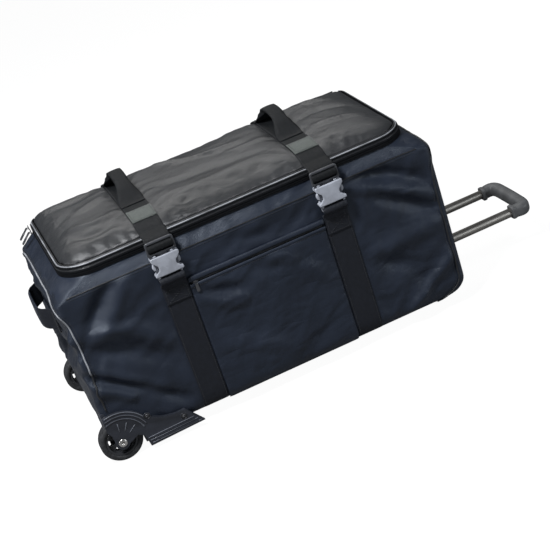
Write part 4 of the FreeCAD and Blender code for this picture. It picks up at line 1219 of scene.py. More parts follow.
def make_patch(end, centre, over):
    """The square of loop pile sewn on the strap just in front of the carry loop."""
    low, high = span("strap_patches")[0][1], span("strap_patches")[1][1]
    path = [(y, z + 1.7) for y, z in over if low <= y <= high]
    xs = across(WEB - 1.5, 13)
    grid = np.array([[(centre + u, y, z) for u in xs] for y, z in path])
    slab(f"patch_{end}", grid, 1.7, "lid", "patch", ["strap_patches"], edge=0.5)
    runs = [[(centre + side * 21.5, y, z + 1.0) for y, z in path[1:-1]] for side in (-1, 1)]
    runs += [[(centre + u, path[i][0], path[i][1] + 1.0) for u in (-21.5, 21.5)] for i in (1, -2)]
    for run in runs:
        stitch("lid", np.array(run), np.array([(0, 0, 1)] * len(run)), 3.6, 2.5)


def make_loop(end, centre, over):
    """The raised carry loop: webbing laid on the strap, folded along its length where the hand goes."""
    top = span(f"carry_loop_{end}")[1][2] - 1
    z0 = float(np.interp(-40, over[:, 0], over[:, 1])) + 2.1
    z1 = float(np.interp(112, over[:, 0], over[:, 1])) + 2.1
    loop = smooth_line([(0, -46, z0), (0, -37, z0 + 0.2), (0, -29, z0 + 3.5), (0, -18, z0 + 13), (0, -4, z0 + 25),
                        (0, 14, top - 3.5), (0, 34, top), (0, 54, top), (0, 74, top - 3), (0, 90, z1 + 23),
                        (0, 99, z1 + 11), (0, 106, z1 + 3.2), (0, 114, z1 + 0.2)], 3.0)[:, 1:]
    tail = [(y, z + 2.1) for y, z in over if 117 <= y]
    path = np.concatenate([loop, tail])
    line = np.array([(0, y, z) for y, z in path])
    tangents = np.gradient(line, axis=0)
    tangents /= np.linalg.norm(tangents, axis=1, keepdims=True)
    ups = np.cross((1, 0, 0), tangents)
    rise = np.clip((line[:, 2] - (z0 + 2)) / (top - z0 - 8), 0, 1) * (line[:, 1] < 112)
    flat = across(WEB - 1.0, 15)
    rows = []
    for point, up, amount in zip(line, ups, rise):
        folded = amount ** 0.8
        half = WEB / 2 - 0.5 - 10.5 * folded
        angle = math.radians(128 * folded)
        row = []
        for u in flat:
            side, extra = math.copysign(1, u), max(0.0, abs(u) - half)
            reach = min(abs(u), half) + extra * math.cos(angle)
            sink = extra * math.sin(angle) + 0.9 * folded * (abs(u) / half) ** 2
            row.append(point + np.array((centre + side * reach, 0, 0)) - up * sink)
        rows.append(row)
    slab(f"loop_{end}", np.array(rows), 2.0, "lid", "lid_webbing", [f"carry_loop_{end}"])
    box_stitch("lid", [(centre + side * 21, y, np.interp(y, over[:, 0], over[:, 1]) + 3.4)
                       for side, y in ((-1, 122), (1, 122), (1, 142), (-1, 142))], (0, 0, 1))


# ---------------------------------------------------------------- pocket

POCKET_LOW, POCKET_HIGH = span("front_pocket_panel")
POCKET_FOLDS = [
    ([(-139, 272), (-98, 250), (-50, 240)], 11, -5), ([(-139, 248), (-78, 222), (-38, 214)], 13, 5),
    ([(30, 262), (90, 215), (136, 150)], 17, 5), ([(-138, 150), (-60, 120), (40, 60)], 19, 4),
    ([(-10, 262), (50, 240), (120, 235)], 14, -4), ([(136, 120), (70, 80), (0, 40)], 16, -4),
]


def make_pocket():
    """The patch pocket between the straps, with its zip under a welt along the top edge."""
    half, low, high = POCKET_HIGH[0], POCKET_LOW[2], POCKET_HIGH[2]
    xs, zs = np.linspace(-half - 1, half + 1, 71), np.linspace(low, high - 1.5, 63)
    grid = np.array([[(x, 0.0, z) for x in xs] for z in zs])
    u = np.clip(1 - (np.abs(grid[:, :, 0]) / half) ** 4, 0, 1)
    v = np.clip(np.minimum((grid[:, :, 2] - low) / 26, (high - grid[:, :, 2]) / 16), 0, 1)
    full = u * v * (2 - v)
    lift = fold(grid[:, :, (0, 2)].reshape(-1, 2), POCKET_FOLDS).reshape(full.shape) * full * 1.5
    flat = grid[:, :, (0, 2)].reshape(-1, 2)
    lift += (crumple(flat, 40, 3.4, 30, 61) + crumple(flat, 18, 1.0, 60, 63)).reshape(full.shape) * full
    bottom = 15 * np.clip((FLOOR_Z + 30 - grid[:, :, 2]) / 30, 0, 1) ** 2.2
    grid[:, :, 1] = -HALF_Y - 2.2 - 2.6 * full - lift + bottom
    grid[:, :, 1] = np.where(full > 0.3, grid[:, :, 1], np.minimum(grid[:, :, 1], -HALF_Y - 1.6 + bottom))
    slab("pocket_panel", grid, 1.8, "bag", "body", ["front_pocket_panel"])
    tape_low, tape_high = span("pocket_zip_tape")[0][2], span("pocket_zip_tape")[1][2]
    middle = (tape_low + tape_high) / 2
    face = -HALF_Y - 2.0
    xs = np.linspace(-half, half, 40)
    heights = [tape_low - 5, tape_low - 2, tape_low + 2, middle - 1.5, middle, middle + 1.5, tape_high - 1,
               tape_high + 3]
    grid = np.array([[(x, face, z) for z in heights] for x in xs])
    slab("pocket_zip_cloth", grid, 1.2, "bag", "tape", ["pocket_zip_tape"])
    for side, lean in (("low", -0.9), ("high", 0.9)):
        line = np.array([(x, face - 1.1, middle + lean) for x in (-half + 3, half - 3)], float)
        coil(f"pocket_coil_{side}", line, "bag", 1.8, 0.85)
    welt = [(face - 0.3, tape_high + 6), (face - 2.2, tape_high + 4.5), (face - 3.0, tape_high + 1.5),
            (face - 3.2, tape_high - 1.5), (face - 2.6, middle + 2.6), (face - 1.4, middle + 2.2)]
    grid = np.array([[(x, y, z) for y, z in welt] for x in np.linspace(-half - 1, half + 1, 50)])
    grid[:, :, 1] += 0.35 * np.sin(grid[:, :, 0] / 13) * np.sin(grid[:, :, 0] / 31 + 1)
    slab("pocket_welt", grid, 1.3, "bag", "body")
    lip = [(face - 0.2, tape_low - 6), (face - 1.8, tape_low - 4.5), (face - 2.5, tape_low - 1.5),
           (face - 2.2, middle - 3.6), (face - 1.1, middle - 3.4)]
    grid = np.array([[(x, y, z) for y, z in lip] for x in np.linspace(-half - 1, half + 1, 50)])
    slab("pocket_lip", grid, 1.3, "bag", "body")
    for z in (tape_high + 4.2, tape_low - 4.6):
        stitch("bag", np.array([(-half + 2, face - 2.6, z), (half - 2, face - 2.6, z)]),
               np.array([(0, -1, 0), (0, -1, 0)]))
    make_slider("pocket_zip_slider", "pocket_slider", 1)
    centre = (np.array(span("pocket_zip_pull")[0]) + np.array(span("pocket_zip_pull")[1])) / 2
    low, high = span("pocket_zip_pull")
    tab = round_outline([(-2.4, 0, 1.8), (2.4, 0, 1.8), (3.4, -20, 3.2), (-3.4, -20, 3.2)])
    hole = round_outline([(-1.2, -1.6, 1.1), (1.2, -1.6, 1.1), (1.2, -5.4, 1.1), (-1.2, -5.4, 1.1)])
    top = high[2] - 1.4
    plate("pocket_pull_tab", [tab, hole], 0, 1.5, 0.5,
          lambda p: np.stack([centre[0] + p[:, 0], low[1] + 0.1 + p[:, 2], top + 1.6 + p[:, 1] * 1.18], axis=1),
          "pocket_pull", "puller", ["pocket_zip_pull"])


def make_slider(node, body, kind):
    """A zip slider: one shield, or two for the main zip, with a bridge for its pull."""
    low, high = span(node)
    size = high - low
    middle = (low + high) / 2
    if kind == 1:
        outline = round_outline([(-5, -3.6, 1.5), (5, -5.6, 3.2), (5, 5.6, 3.2), (-5, 3.6, 1.5)])
        shield = lambda p: np.stack([middle[0] + p[:, 0], high[1] - p[:, 2], middle[2] + p[:, 1]], axis=1)
        bridge = [(middle[0] - 3.4, high[1] - 1.4, middle[2]), (middle[0] - 2.6, high[1] - 3.0, middle[2]),
                  (middle[0] + 1, high[1] - 3.4, middle[2]), (middle[0] + 3.2, high[1] - 2.6, middle[2]),
                  (middle[0] + 3.8, high[1] - 1.2, middle[2])]
        parts = [plate(node + "_a", [outline], 0, 1.6, 0.6, shield)]
    else:
        outline = round_outline([(-7, -2.0, 1.5), (7, -3.4, 2.2), (7, 3.4, 2.2), (-7, 2.0, 1.5)])
        face = low[0] + 4.2
        z = low[2] - 0.6
        shield = lambda p: np.stack([face - p[:, 2], middle[1] + p[:, 0], z + 1.4 * p[:, 1]], axis=1)
        behind = lambda p: np.stack([face + 5.2 - p[:, 2], middle[1] + p[:, 0], z + 1.4 * p[:, 1]], axis=1)
        bridge = [(face - 1.2, middle[1] - 4.6, z), (face - 3.6, middle[1] - 3.4, z), (face - 4.4, middle[1], z),
                  (face - 3.6, middle[1] + 3.4, z), (face - 1.2, middle[1] + 4.6, z)]
        parts = [plate(node + "_a", [outline], 0, 1.7, 0.6, shield),
                 plate(node + "_b", [outline], 0, 1.4, 0.5, behind)]
    parts.append(tube(node + "_c", smooth_line(bridge, 0.8), 0.85, sides=8))
    join(node + "_cast", parts, body, "zip_metal", [node])


def make_main_sliders():
    for end in SIDES:
        make_slider(f"main_zip_slider_{end}", f"slider_{end}", 2)
        low, high = span(f"main_zip_pull_{end}")
        hinge = np.array((high[0] - 0.6, (low[1] + high[1]) / 2, high[2] - 0.6))
        angle = math.radians(-43)
        tab = round_outline([(1.2, -2.6, 1.5), (1.2, 2.6, 1.5), (-9, 2.8, 2), (-13, 4.2, 3), (-27, 4.0, 3.6),
                             (-27, -4.0, 3.6), (-13, -4.2, 3), (-9, -2.8, 2)])
        eye = round_outline([(-0.4, -1.3, 1), (-0.4, 1.3, 1), (-5.4, 1.3, 1), (-5.4, -1.3, 1)])
        flip = lambda p, h=hinge: np.stack([h[0] + p[:, 0] * math.cos(angle) + p[:, 2] * math.sin(angle),
                                            h[1] + p[:, 1],
                                            h[2] - p[:, 0] * math.sin(angle) + p[:, 2] * math.cos(angle)], axis=1)
        plate(f"main_pull_tab_{end}", [tab, eye], -1.4, 1.4, 1.0, flip, f"pull_{end}", "puller",
              [f"main_zip_pull_{end}"])


# ---------------------------------------------------------------- seams and the grab handle

def make_end_trim(shell):
    """Piping round the two end panels, and the stitched seam under the border."""
    for end, sign in ENDS.items():
        x = sign * (HALF_X - 14)
        out = sign * (HALF_X + 1)
        top = SEAM_Z + 2
        bottom = 116 if end == "wheel" else 66
        rise = [(x, -HALF_Y - 1, z) for z in np.arange(bottom, top - 92, 6.0)]
        if end == "handle":
            curve = [(x - 52, 16 - HALF_Y, 26), (x - 33, 9 - HALF_Y, 31), (x - 16, 3 - HALF_Y, 43),
                     (x - 4, -HALF_Y, 56)]
            rise = curve + rise
        across_top = [(out - sign * 1, y, top) for y in np.arange(78 - HALF_Y, HALF_Y - 77, 8.0)]
        shoulder = [(x + sign * 1.5, -HALF_Y - 1, top - 80), (x + sign * 4, -HALF_Y, top - 58),
                    (x + sign * 9, -HALF_Y + 4, top - 36), (out, -HALF_Y + 18, top - 19),
                    (out, -HALF_Y + 40, top - 7), (out, -HALF_Y + 60, top - 1.5)]
        fall = [(px, -py, pz) for px, py, pz in (rise + shoulder)[::-1]]
        line = smooth_line(rise + shoulder + across_top + fall, 4.0)
        line, normals = snap(shell, line, 1.0)
        for _ in range(3):
            line[1:-1] = (line[:-2] + 2 * line[1:-1] + line[2:]) / 4
        if end == "wheel":
            upper = line[:, 2] > 196
            first, last = upper.argmax(), len(upper) - upper[::-1].argmax()
            tube("end_piping_wheel", line[first - 1:last + 1], 1.6, "bag", "piping", ["end_seam_piping"],
                 sides=12)
            for name, part in (("front", line[:first]), ("rear", line[last:])):
                tube(f"end_binding_{name}", part, 1.9, "bag", "dark_piping", sides=12)
        else:
            tube("end_piping_handle", line, 1.6, "bag", "dark_piping", sides=12)
        stitched = line - np.array((sign * 6.5, 0, 0))
        stitched, normals = snap(shell, stitched, 0.5)
        stitch("bag", stitched, normals)
    for name, side in SIDES.items():
        ys = [(x, side * HALF_Y, SEAM_Z - 4) for x in np.arange(-HALF_X + 24, HALF_X - 23, 8.0)]
        line, normals = snap(shell, ys, 0.4)
        stitch("bag", line, normals)
        welt, _ = snap(shell, [(x, y, z + 5.5) for x, y, z in ys], 0.3)
        tube(f"border_seam_{name}", welt, 1.3, "bag", "dark_piping")


def make_grab_handle():
    """The webbing handle on the wheel end: two sewn feet and a folded, wrapped hand part that stands off."""
    low, high = span("end_grab_handle")
    middle, reach = (low[2] + high[2]) / 2, low[0]
    far = high[1] + 8
    path = smooth_line([(-HALF_X - 2.0, -far, 0), (-HALF_X - 2.2, -far + 14, 0), (-HALF_X - 3.2, -far + 20, 0),
                        (-HALF_X - 9, -far + 29, 0), (-HALF_X - 18, -far + 39, 0), (reach + 4.4, -far + 52, 0),
                        (reach + 2.6, -30, 0), (reach + 2.2, 0, 0), (reach + 2.6, 30, 0), (reach + 4.4, far - 52, 0),
                        (-HALF_X - 18, far - 39, 0), (-HALF_X - 9, far - 29, 0), (-HALF_X - 3.2, far - 20, 0),
                        (-HALF_X - 2.2, far - 14, 0), (-HALF_X - 2.0, far, 0)], 3.5)
    width = high[2] - low[2]
    rows = []
    for x, y, _ in path:
        lean = 2.5 * math.exp(-(y / 60) ** 2)
        rows.append([(x + (u / width) ** 2 * lean, y, middle + u) for u in across(width, 11)])
    slab("grab_webbing", np.array(rows), 2.4, "bag", "webbing", ["end_grab_handle"])
    sleeve = [p for p in path if abs(p[1]) < 46]
    rings = []
    count = 22
    for i, (x, y, _) in enumerate(sleeve):
        edge = min(1.0, (i + 1.2) / 3, (len(sleeve) - i + 0.2) / 3)
        ring_points = []
        tall = (width / 2 + 0.6) * (0.97 + 0.03 * edge)
        for k in range(count):
            a = 2 * math.pi * k / count
            c, s = math.cos(a), math.sin(a)
            ring_points.append((x + 0.4 + math.copysign(abs(c) ** 0.75, c) * 3.1 * edge, y,
                                middle + math.copysign(abs(s) ** 0.45, s) * tall))
        rings.append(ring_points)
    grid = np.array(rings)
    faces = grid_faces(len(grid), count, False, True) + end_faces(len(grid), count)
    flat = np.stack([np.broadcast_to(np.arange(count) * 4.6, grid.shape[:2]), lengths(grid, 0),
                     np.zeros(grid.shape[:2])], axis=2)
    mesh_piece("grab_sleeve", grid.reshape(-1, 3), faces, "bag", "body", cloth=flat.reshape(-1, 3))
    for side in (-1, 1):
        box_stitch("bag", [(-HALF_X - out, side * (far - inset), middle + up) for out, inset, up in
                           ((3.6, 2, -17), (3.6, 2, 17), (3.8, 16, 17), (3.8, 16, -17))], (-1, 0, 0))


# ---------------------------------------------------------------- buckles

def make_buckles():
    """The sockets on the front, the frames on the lid's straps and their prongs."""
    for end, centre in STRAPS.items():
        low, high = span(f"buckle_socket_{end}")
        half, bottom, top = (high[0] - low[0]) / 2, low[2], high[2]
        back, front = -high[1], -low[1]

        def shape(points):
            return round_outline([(centre + u * half, bottom + v, r) for u, v, r in points])

        waist = [(1, 16, 3), (1, 20, 3), (0.62, 29, 5), (0.62, 37, 5), (1, 47, 6), (1, top - bottom, 4)]
        hourglass = [(-1, 16, 3), *waist, *((-u, v, r) for u, v, r in waist[:0:-1])]
        block = [(-0.84, 1, 4), (0.84, 1, 4), (0.9, 20, 3), (-0.9, 20, 3)]
        slot = [(-0.7, 9.6, 2), (0.7, 9.6, 2), (0.7, 14.6, 2), (-0.7, 14.6, 2)]
        name = f"socket_{end}"
        parts = [plate(name + "_a", [shape(hourglass)], front - 3.2, front + 0.6, 1.3, frontal),
                 plate(name + "_b", [shape(hourglass)], back, back + 2.1, 0.9, frontal),
                 plate(name + "_c", [shape(block), shape(slot)], back + 1, front - 2.6, 1.6, frontal),
                 plate(name + "_d", [shape([(-1, 15.4, 3), (1, 15.4, 3), (1, 22, 2), (-1, 22, 2)])], back, front,
                       1.5, frontal)]
        socket = moulded(join(name, parts), 0.95, 3)
        points = bag_points(socket)
        u = (points[:, 0] - centre) / half
        v = (points[:, 2] - (bottom + 38)) / 22
        crown = np.clip(1 - u ** 2, 0, 1) * np.clip(1 - 0.35 * v ** 2, 0, 1)
        outer = np.clip((-points[:, 1] - front + 3.4) / 2.5, 0, 1) * (points[:, 2] > bottom + 14)
        points[:, 1] -= 1.6 * crown * outer
        move_points(socket, points)
        finish_piece(socket, "bag", "buckle", [f"buckle_socket_{end}"])

        low, high = span(f"buckle_frame_{end}")
        stem, top = low[2], high[2]
        back, front = -high[1], -low[1]
        shoulder = span(f"buckle_socket_{end}")[1][2] + 1
        outline = round_outline([(centre - half, shoulder, 2), (centre - 8, shoulder, 2), (centre - 5, stem, 2.4),
                                 (centre + 5, stem, 2.4), (centre + 8, shoulder, 2), (centre + half, shoulder, 2),
                                 (centre + half, top, 6), (centre - half, top, 6)])
        holes = [round_box((centre - half + 4.5, centre + half - 4.5), (z, z + 5.2), 2)
                 for z in (shoulder + 4, top - 10)]
        made = moulded(join(f"frame_{end}", [
            plate(f"frame_{end}_a", [outline, *holes], back, front, 1.2, frontal),
            tube(f"frame_{end}_b", [(centre + u, -(back + front) / 2, top - 2.8) for u in
                                    np.linspace(-half + 5, half - 5, 12)], 2.9, sides=16),
        ]), 0.75, 2)
        finish_piece(made, "lid", "dark_buckle", [f"buckle_frame_{end}"])
        for side, sign in (("left", -1), ("right", 1)):
            make_prong(end, side, sign, centre)


def make_prong(end, side, sign, centre):
    """One spring arm with the knob that is squeezed."""
    node = f"buckle_prong_{end}_{side}"
    low, high = span(node)
    back, front = -high[1], -low[1]
    root = high[2]
    arm = round_outline([(centre + sign * u, root - d, r) for u, d, r in
                         [(20, 0, 0.5), (20, 10, 3), (26.6, 17, 4), (27.4, 22, 3), (25.6, 27, 3), (20, 30, 3),
                          (15, 28, 2), (16, 14, 4), (14, 0, 0.5)]][::sign])
    knob = round_outline([(centre + sign * u, root - d, r) for u, d, r in
                          [(21, 12.5, 3), (26.4, 14.5, 4), (28, 20, 4), (26.4, 26, 4), (21, 28, 3)]][::sign])
    parts = [plate(node + "_a", [arm], back, front, 0.9, frontal),
             plate(node + "_b", [knob], back - 0.3, front + 3.6, 2.0, frontal)]
    made = moulded(join("soft_" + node, parts), 0.6, 3)
    finish_piece(made, f"prong_{end}_{side}", "buckle", [node])


# ---------------------------------------------------------------- wheels and housings

SCREWS = ((-302, 74), (-237, 41))  # x and z
BOLT_INNER = 143.2
CHEEK_FACE = -span("wheel_housing_front")[0][1] - 1.2


def make_wheels():
    """Tyres, hubs, housings, axle bolts with their nuts, and the housings' screws."""
    for end, sign in SIDES.items():
        low, high = span(f"tyre_{end}")
        centre = (low + high) / 2
        radius = (high[2] - low[2]) / 2
        half = (high[1] - low[1]) / 2
        shoulder = [(-half, radius - 11), (-half, radius - 4.6), (-half + 0.7, radius - 2.2),
                    (-half + 2.4, radius - 0.6), (-half + 4.6, radius), (-4.4, radius), (-4.0, radius - 0.9),
                    (-2.8, radius - 0.9), (-2.4, radius)]
        profile = shoulder + [(-a, r) for a, r in shoulder[::-1]]
        lathe(f"tread_{end}", profile, centre, f"wheel_{end}", "tyre", [f"tyre_{end}"], sides=128)
        refine(f"wheel_hub_{end}", f"wheel_{end}", "hub", 0.6)
        refine(f"wheel_housing_{end}", "bag", "housing", 1.1)
        axle = (centre[0], 0, centre[2])

        def turned(name, profile, at, sides, material="steel", replaces=()):
            outwards = [(sign * (CHEEK_FACE + d), r) for d, r in profile]
            lathe(name, outwards, at, "bag", material, replaces, sides=sides)

        shank_end = BOLT_INNER - CHEEK_FACE
        turned(f"bolt_head_{end}", [(0, 0.3), (0, 8.4), (0.7, 8.6), (1.2, 7.8), (2.2, 6.6), (3.0, 4.4), (3.0, 3.4),
                                    (1.4, 3.0), (1.3, 0.3)], axle, 64, replaces=["axle_bolts"])
        turned(f"bolt_shank_{end}", [(0.2, 0.3), (0.2, 4.0), (shank_end, 4.0), (shank_end, 0.3)], axle, 32)
        turned(f"bolt_nut_{end}", [(shank_end, 3.9), (shank_end, 6.4), (shank_end + 2.6, 6.6),
                                   (shank_end + 2.6, 3.9)], axle, 6)
        for i, (x, z) in enumerate(SCREWS):
            turned(f"screw_rim_{end}_{i}", [(-1, 3.0), (-1, 7.0), (0.4, 7.0), (0.9, 6.5), (0.5, 6.0), (-0.4, 5.8),
                                            (-0.4, 3.0)], (x, 0, z), 40, "housing")
            # A flat dark disc in the tyre rubber, just proud of the cheek: painted shade of the screw's recess,
            # which is not cut into the housing.
            turned(f"screw_recess_shade_{end}_{i}", [(-0.6, 0.3), (-0.6, 6.1), (0.2, 6.1), (0.2, 0.3)], (x, 0, z), 40,
                   "tyre")
            turned(f"screw_head_{end}_{i}", [(-0.5, 0.3), (-0.5, 3.0), (0.4, 2.9), (0.75, 2.2), (0.75, 1.2),
                                             (0.3, 1.0), (0.3, 0.3)], (x, 0, z), 24, "zip_metal",
                   ["housing_screws"])
        make_ribs(end, sign * (CHEEK_FACE + 0.15), axle)
    refine("base_feet", "bag", "housing", 2.0)


def make_ribs(end, y, axle):
    """The moulded ribs of a wheel housing: arcs over the wheel, short spokes and lines along the tail, in a lighter
    plastic that is a painted highlight on them.
    """
    parts = []

    def rib(line, radius):
        parts.append(tube(f"rib_{end}_{len(parts)}", line, radius, sides=8))

    for radius, low, high, thick in ((63.3, 33, 106, 1.0), (57.5, 20, 108, 1.3), (50.5, 16, 112, 1.3)):
        turns = [math.radians(a) for a in np.linspace(low, high, 40)]
        rib([(axle[0] + radius * math.cos(a), y, axle[2] + radius * math.sin(a)) for a in turns], thick)
    for degrees in (38, 62, 86):
        a = math.radians(degrees)
        rib([(axle[0] + r * math.cos(a), y, axle[2] + r * math.sin(a)) for r in (24, 30, 36, 42)], 0.7)
    for i, (start, stop) in enumerate(((-310, -207), (-312, -213), (-314, -219))):
        zs = (16.5 + 6.5 * i, 19 + 6.5 * i)
        rib([(start * (1 - t) + stop * t, y, zs[0] * (1 - t) + zs[1] * t) for t in np.linspace(0, 1, 8)], 0.9)
    join(f"housing_ribs_{end}", parts, "bag", "rib")


# ---------------------------------------------------------------- pull-out handle

TUBE_WALLS = {"inner": ("trolley", 1.2), "outer": ("bag", 1.3)}


def make_handle():
    """The sliding and the fixed tubes, the bezel, the saddles and the grip."""
    for end in SIDES:
        low, high = span(f"inner_tube_{end}")
        centre = (0, *((low + high) / 2)[1:])
        for kind, (body, wall) in TUBE_WALLS.items():
            low, high = span(f"{kind}_tube_{end}")
            start, stop, radius = low[0], high[0], (high[2] - low[2]) / 2
            pipe = [(start, radius - wall), (start, radius - 0.2), (start + 0.6, radius), (stop - 0.4, radius),
                    (stop, radius - 0.3), (stop, radius - wall)]
            lathe(f"{kind}_pipe_{end}", pipe, centre, body, "tube", [f"{kind}_tube_{end}"], sides=72,
                  axis="x")
    refine("handle_bezel", "bag", "housing", 1.6)
    refine("tube_saddles", "bag", "housing", 1.0)
    make_grip()


GRIP_SIDES = 28


def make_grip():
    """The moulded grip: a thick rounded bar bent to a U, with a collar on each tube and a recess for the button."""
    low, high = span("grip")
    middle = (low[2] + high[2]) / 2
    offset = (span("inner_tube_rear")[0][1] + span("inner_tube_rear")[1][1]) / 2
    x0, x1 = low[0], high[0]
    half = [(x0 + 0.5, offset), (x0 + 8, offset + 0.8), (x0 + 16, offset + 2.6), (x0 + 23, offset + 3.2),
            (x0 + 29, offset + 0.6), (x0 + 33, offset - 6.5), (x0 + 34.8, offset - 17), (x0 + 35.2, offset - 36),
            (x0 + 35.5, 0)]
    corners = [(x, y, middle) for x, y in half] + [(x, -y, middle) for x, y in half[-2::-1]]
    path = smooth_line(corners, 2.5)
    tangents = np.gradient(path, axis=0)
    tangents /= np.linalg.norm(tangents, axis=1, keepdims=True)
    rings = []
    for point, tangent in zip(path, tangents):
        side = np.cross(tangent, (0, 0, 1))
        along = min(1.0, (point[0] - x0) / 24)
        wide, tall = 11.8 + 1.4 * along, 12.2 + 1.5 * along
        if point[0] < x0 + 2:
            wide, tall = wide - 1, tall - 1
        rings.append([point + side * math.copysign(abs(math.cos(a)) ** 0.72, math.cos(a)) * wide
                      + np.array((0, 0, math.copysign(abs(math.sin(a)) ** 0.72, math.sin(a)) * tall))
                      for a in np.linspace(0, 2 * math.pi, GRIP_SIDES, endpoint=False)])
    faces = grid_faces(len(rings), GRIP_SIDES, False, True) + end_faces(len(rings), GRIP_SIDES)
    parts = [mesh_piece("grip_a", np.array(rings).reshape(-1, 3), faces)]
    for side in (-1, 1):
        cuff = round_box((side * offset - 13.2, side * offset + 13.2), (middle - 13.4, middle + 13.4), 7)
        parts.append(plate(f"grip_b{side}", [cuff], x0 + 0.2, x0 + 8.5, 1.6, endways))
    grip = moulded(join("grip_moulding", parts), 1.3, 3)
    button_low, button_high = span("release_button")
    (y0, z0), (y1, z1) = button_low[1:], button_high[1:]
    window = round_box((y0 - 1.2, y1 + 1.2), (z0 - 1.2, z1 + 1.2), 4)
    tool = plate("grip_tool", [window], high[0] - 11, high[0] + 12, 0.5, endways)
    recess = grip.modifiers.new("Boolean", "BOOLEAN")
    recess.operation = "DIFFERENCE"
    recess.object = tool
    recess.solver = "EXACT"
    apply_modifiers(grip)
    bpy.data.objects.remove(tool)
    shade_smooth(grip)
    sharpen(grip, 40)
    finish_piece(grip, "trolley", "grip", ["grip"])
    plate("button_cap", [round_box((y0, y1), (z0, z1), 3.4)], button_low[0], button_high[0] + 0.4, 1.8, endways,
          "button", "button", ["release_button"])


# ---------------------------------------------------------------- inside

QUILT = 54  # millimetres between the divider's rows of stitches


def make_inside():
    """The divider over the handle tubes, quilted, and what is under it."""
    low, high = span("compartment_floor")
    xs, ys = np.linspace(low[0], high[0], 96), np.linspace(low[1], high[1], 46)
    grid = np.array([[(x, y, high[2] - 1) for y in ys] for x in xs])
    u, v = (np.abs(np.sin((grid[:, :, k] + shift) / QUILT * math.pi)) ** 0.6 for k, shift in ((0, 0), (1, 4)))
    edge = np.clip(np.minimum(grid[:, :, 0] - low[0], high[0] - grid[:, :, 0]) / 12, 0, 1)
    grid[:, :, 2] += 1.8 * u * v * edge
    slab("divider", grid, 2.0, "bag", "lining", ["compartment_floor"])
    refine("base_board", "bag", "board", 0.8)
    carried = {"push_rods": "steel", "lock_pins": "steel", "tube_end_plugs": "hub"}
    for name, material in carried.items():
        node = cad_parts[name]
        node.data.materials.clear()
        node.data.materials.append(MATERIALS[material])


# ---------------------------------------------------------------- camera, light and floor

# Degrees, metres, a point in the bag's frame, and millimetres of focal length.
VIEW_AZIMUTH, VIEW_ELEVATION, VIEW_ROLL = -11.70, 24.85, -18.86
VIEW_DISTANCE, VIEW_AIM, VIEW_LENS = 2.9345, (56.5, 0, 145.6), 95.27
LIGHTS = {  # place in metres, size in metres, watts and colour
    "overhead": ((0.1, 1.5, 2.0), (2.2, 0.8), 22, (1.0, 0.99, 0.97)),
    "key": ((-1.1, -1.1, 2.5), (0.5, 0.5), 95, (0.96, 0.975, 1.0)),
    "side": ((-2.6, -0.6, 0.9), (0.6, 0.6), 13, (0.95, 0.97, 1.0)),
    "fill": ((2.4, -1.6, 0.7), (0.8, 0.8), 20, (0.9, 0.95, 1.0)),
}
LIT_POINT = (0, 0, 0.25)
FLOOR_HALF = 6.0
WORLD_LIGHT, WORLD_SEEN = 0.10, 1.05


def make_camera():
    """The photograph's camera, rolled so that the level bag looks tilted."""
    camera = add_object("camera", bpy.data.cameras.new("camera"))
    azimuth, elevation, roll = (math.radians(a) for a in (VIEW_AZIMUTH, VIEW_ELEVATION, VIEW_ROLL))
    back = Vector((math.sin(azimuth) * math.cos(elevation), -math.cos(azimuth) * math.cos(elevation),
                   math.sin(elevation)))
    camera.location = Vector(tuple(place(VIEW_AIM)[0])) + back * VIEW_DISTANCE
    camera.rotation_mode = "QUATERNION"
    turn = (-back).to_track_quat("-Z", "Y").to_matrix() @ Matrix.Rotation(roll, 3, "Z")
    camera.rotation_quaternion = turn.to_quaternion()
    camera.data.lens = VIEW_LENS
    camera.data.sensor_width = 36
    bpy.context.scene.camera = camera


def area_light(name, location, size, power, colour):
    """One rectangular light, aimed at a point."""
    light = bpy.data.lights.new(name, "AREA")
    light.shape = "RECTANGLE"
    light.size, light.size_y = size
    light.energy = power
    light.color = colour
    lamp = add_object(name, light)
    lamp.location = location
    lamp.rotation_mode = "QUATERNION"
    lamp.rotation_quaternion = (Vector(LIT_POINT) - Vector(location)).to_track_quat("-Z", "Y")


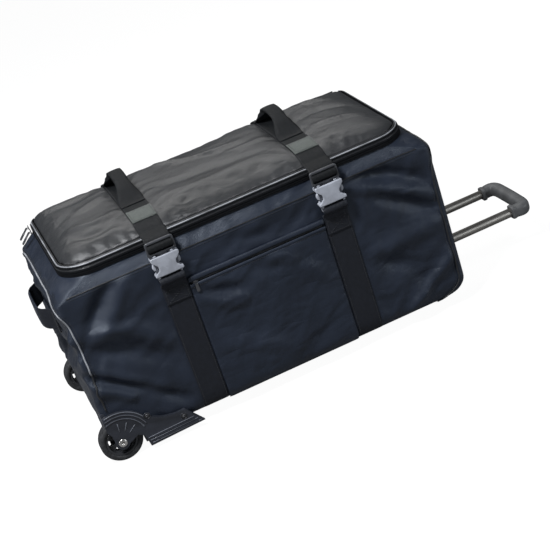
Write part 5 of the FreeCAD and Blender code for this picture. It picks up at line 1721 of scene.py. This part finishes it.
def whiten(shade):
    """Shows the floor to the camera as almost white, with only a trace of the shadow on it."""
    glow = shade.add("ShaderNodeEmission", Strength=0.96)
    seen, total = shade.add("ShaderNodeMixShader"), shade.add("ShaderNodeAddShader")
    faint = shade.add("ShaderNodeBsdfDiffuse")
    faint.inputs["Color"].default_value = (0.10, 0.10, 0.10, 1)
    path = shade.add("ShaderNodeLightPath")
    output = next(n for n in shade.tree.nodes if n.type == "OUTPUT_MATERIAL")
    shade.link(glow.outputs[0], total.inputs[0])
    shade.link(faint.outputs[0], total.inputs[1])
    shade.link(path.outputs["Is Camera Ray"], seen.inputs[0])
    shade.link(shade.shader.outputs[0], seen.inputs[1])
    shade.link(total.outputs[0], seen.inputs[2])
    shade.link(seen.outputs[0], output.inputs["Surface"])


def make_stage():
    """A pale floor that fades into white, and soft studio lights."""
    mesh = bpy.data.meshes.new("floor")
    mesh.from_pydata([(x * FLOOR_HALF, y * FLOOR_HALF, 0) for x, y in ((-1, -1), (1, -1), (1, 1), (-1, 1))], [],
                     [(0, 1, 2, 3)])
    floor = add_object("floor", mesh)
    floor.location.z = -0.0005
    shade = Shade("floor", (0.2, 0.2, 0.202), 0.9)
    shade.vary(shade.noise(shade.place_vector(), 500, 2.0), 0.99, 1.0)
    whiten(shade)
    mesh.materials.append(shade.material)
    world = bpy.data.worlds.new("studio")
    bpy.context.scene.world = world
    world.use_nodes = True
    tree = world.node_tree
    tree.nodes.clear()
    output = tree.nodes.new("ShaderNodeOutputWorld")
    mixer = tree.nodes.new("ShaderNodeMixShader")
    path = tree.nodes.new("ShaderNodeLightPath")
    dim, bright = tree.nodes.new("ShaderNodeBackground"), tree.nodes.new("ShaderNodeBackground")
    dim.inputs["Color"].default_value = (0.86, 0.92, 1.0, 1)
    dim.inputs["Strength"].default_value = WORLD_LIGHT
    bright.inputs["Color"].default_value = (1, 1, 1, 1)
    bright.inputs["Strength"].default_value = WORLD_SEEN
    tree.links.new(path.outputs["Is Camera Ray"], mixer.inputs[0])
    tree.links.new(dim.outputs[0], mixer.inputs[1])
    tree.links.new(bright.outputs[0], mixer.inputs[2])
    tree.links.new(mixer.outputs[0], output.inputs[0])
    for name, settings in LIGHTS.items():
        area_light(name, *settings)
    bpy.context.scene.view_settings.view_transform = "Standard"


# ---------------------------------------------------------------- everything

shell_surface = make_shell()
lid_surface = make_lid()
make_mouth_trim()
make_straps(shell_surface, lid_surface)
make_pocket()
make_main_sliders()
make_end_trim(shell_surface)
make_grab_handle()
make_buckles()
make_wheels()
make_handle()
make_inside()
make_stitches()
make_camera()
make_stage()
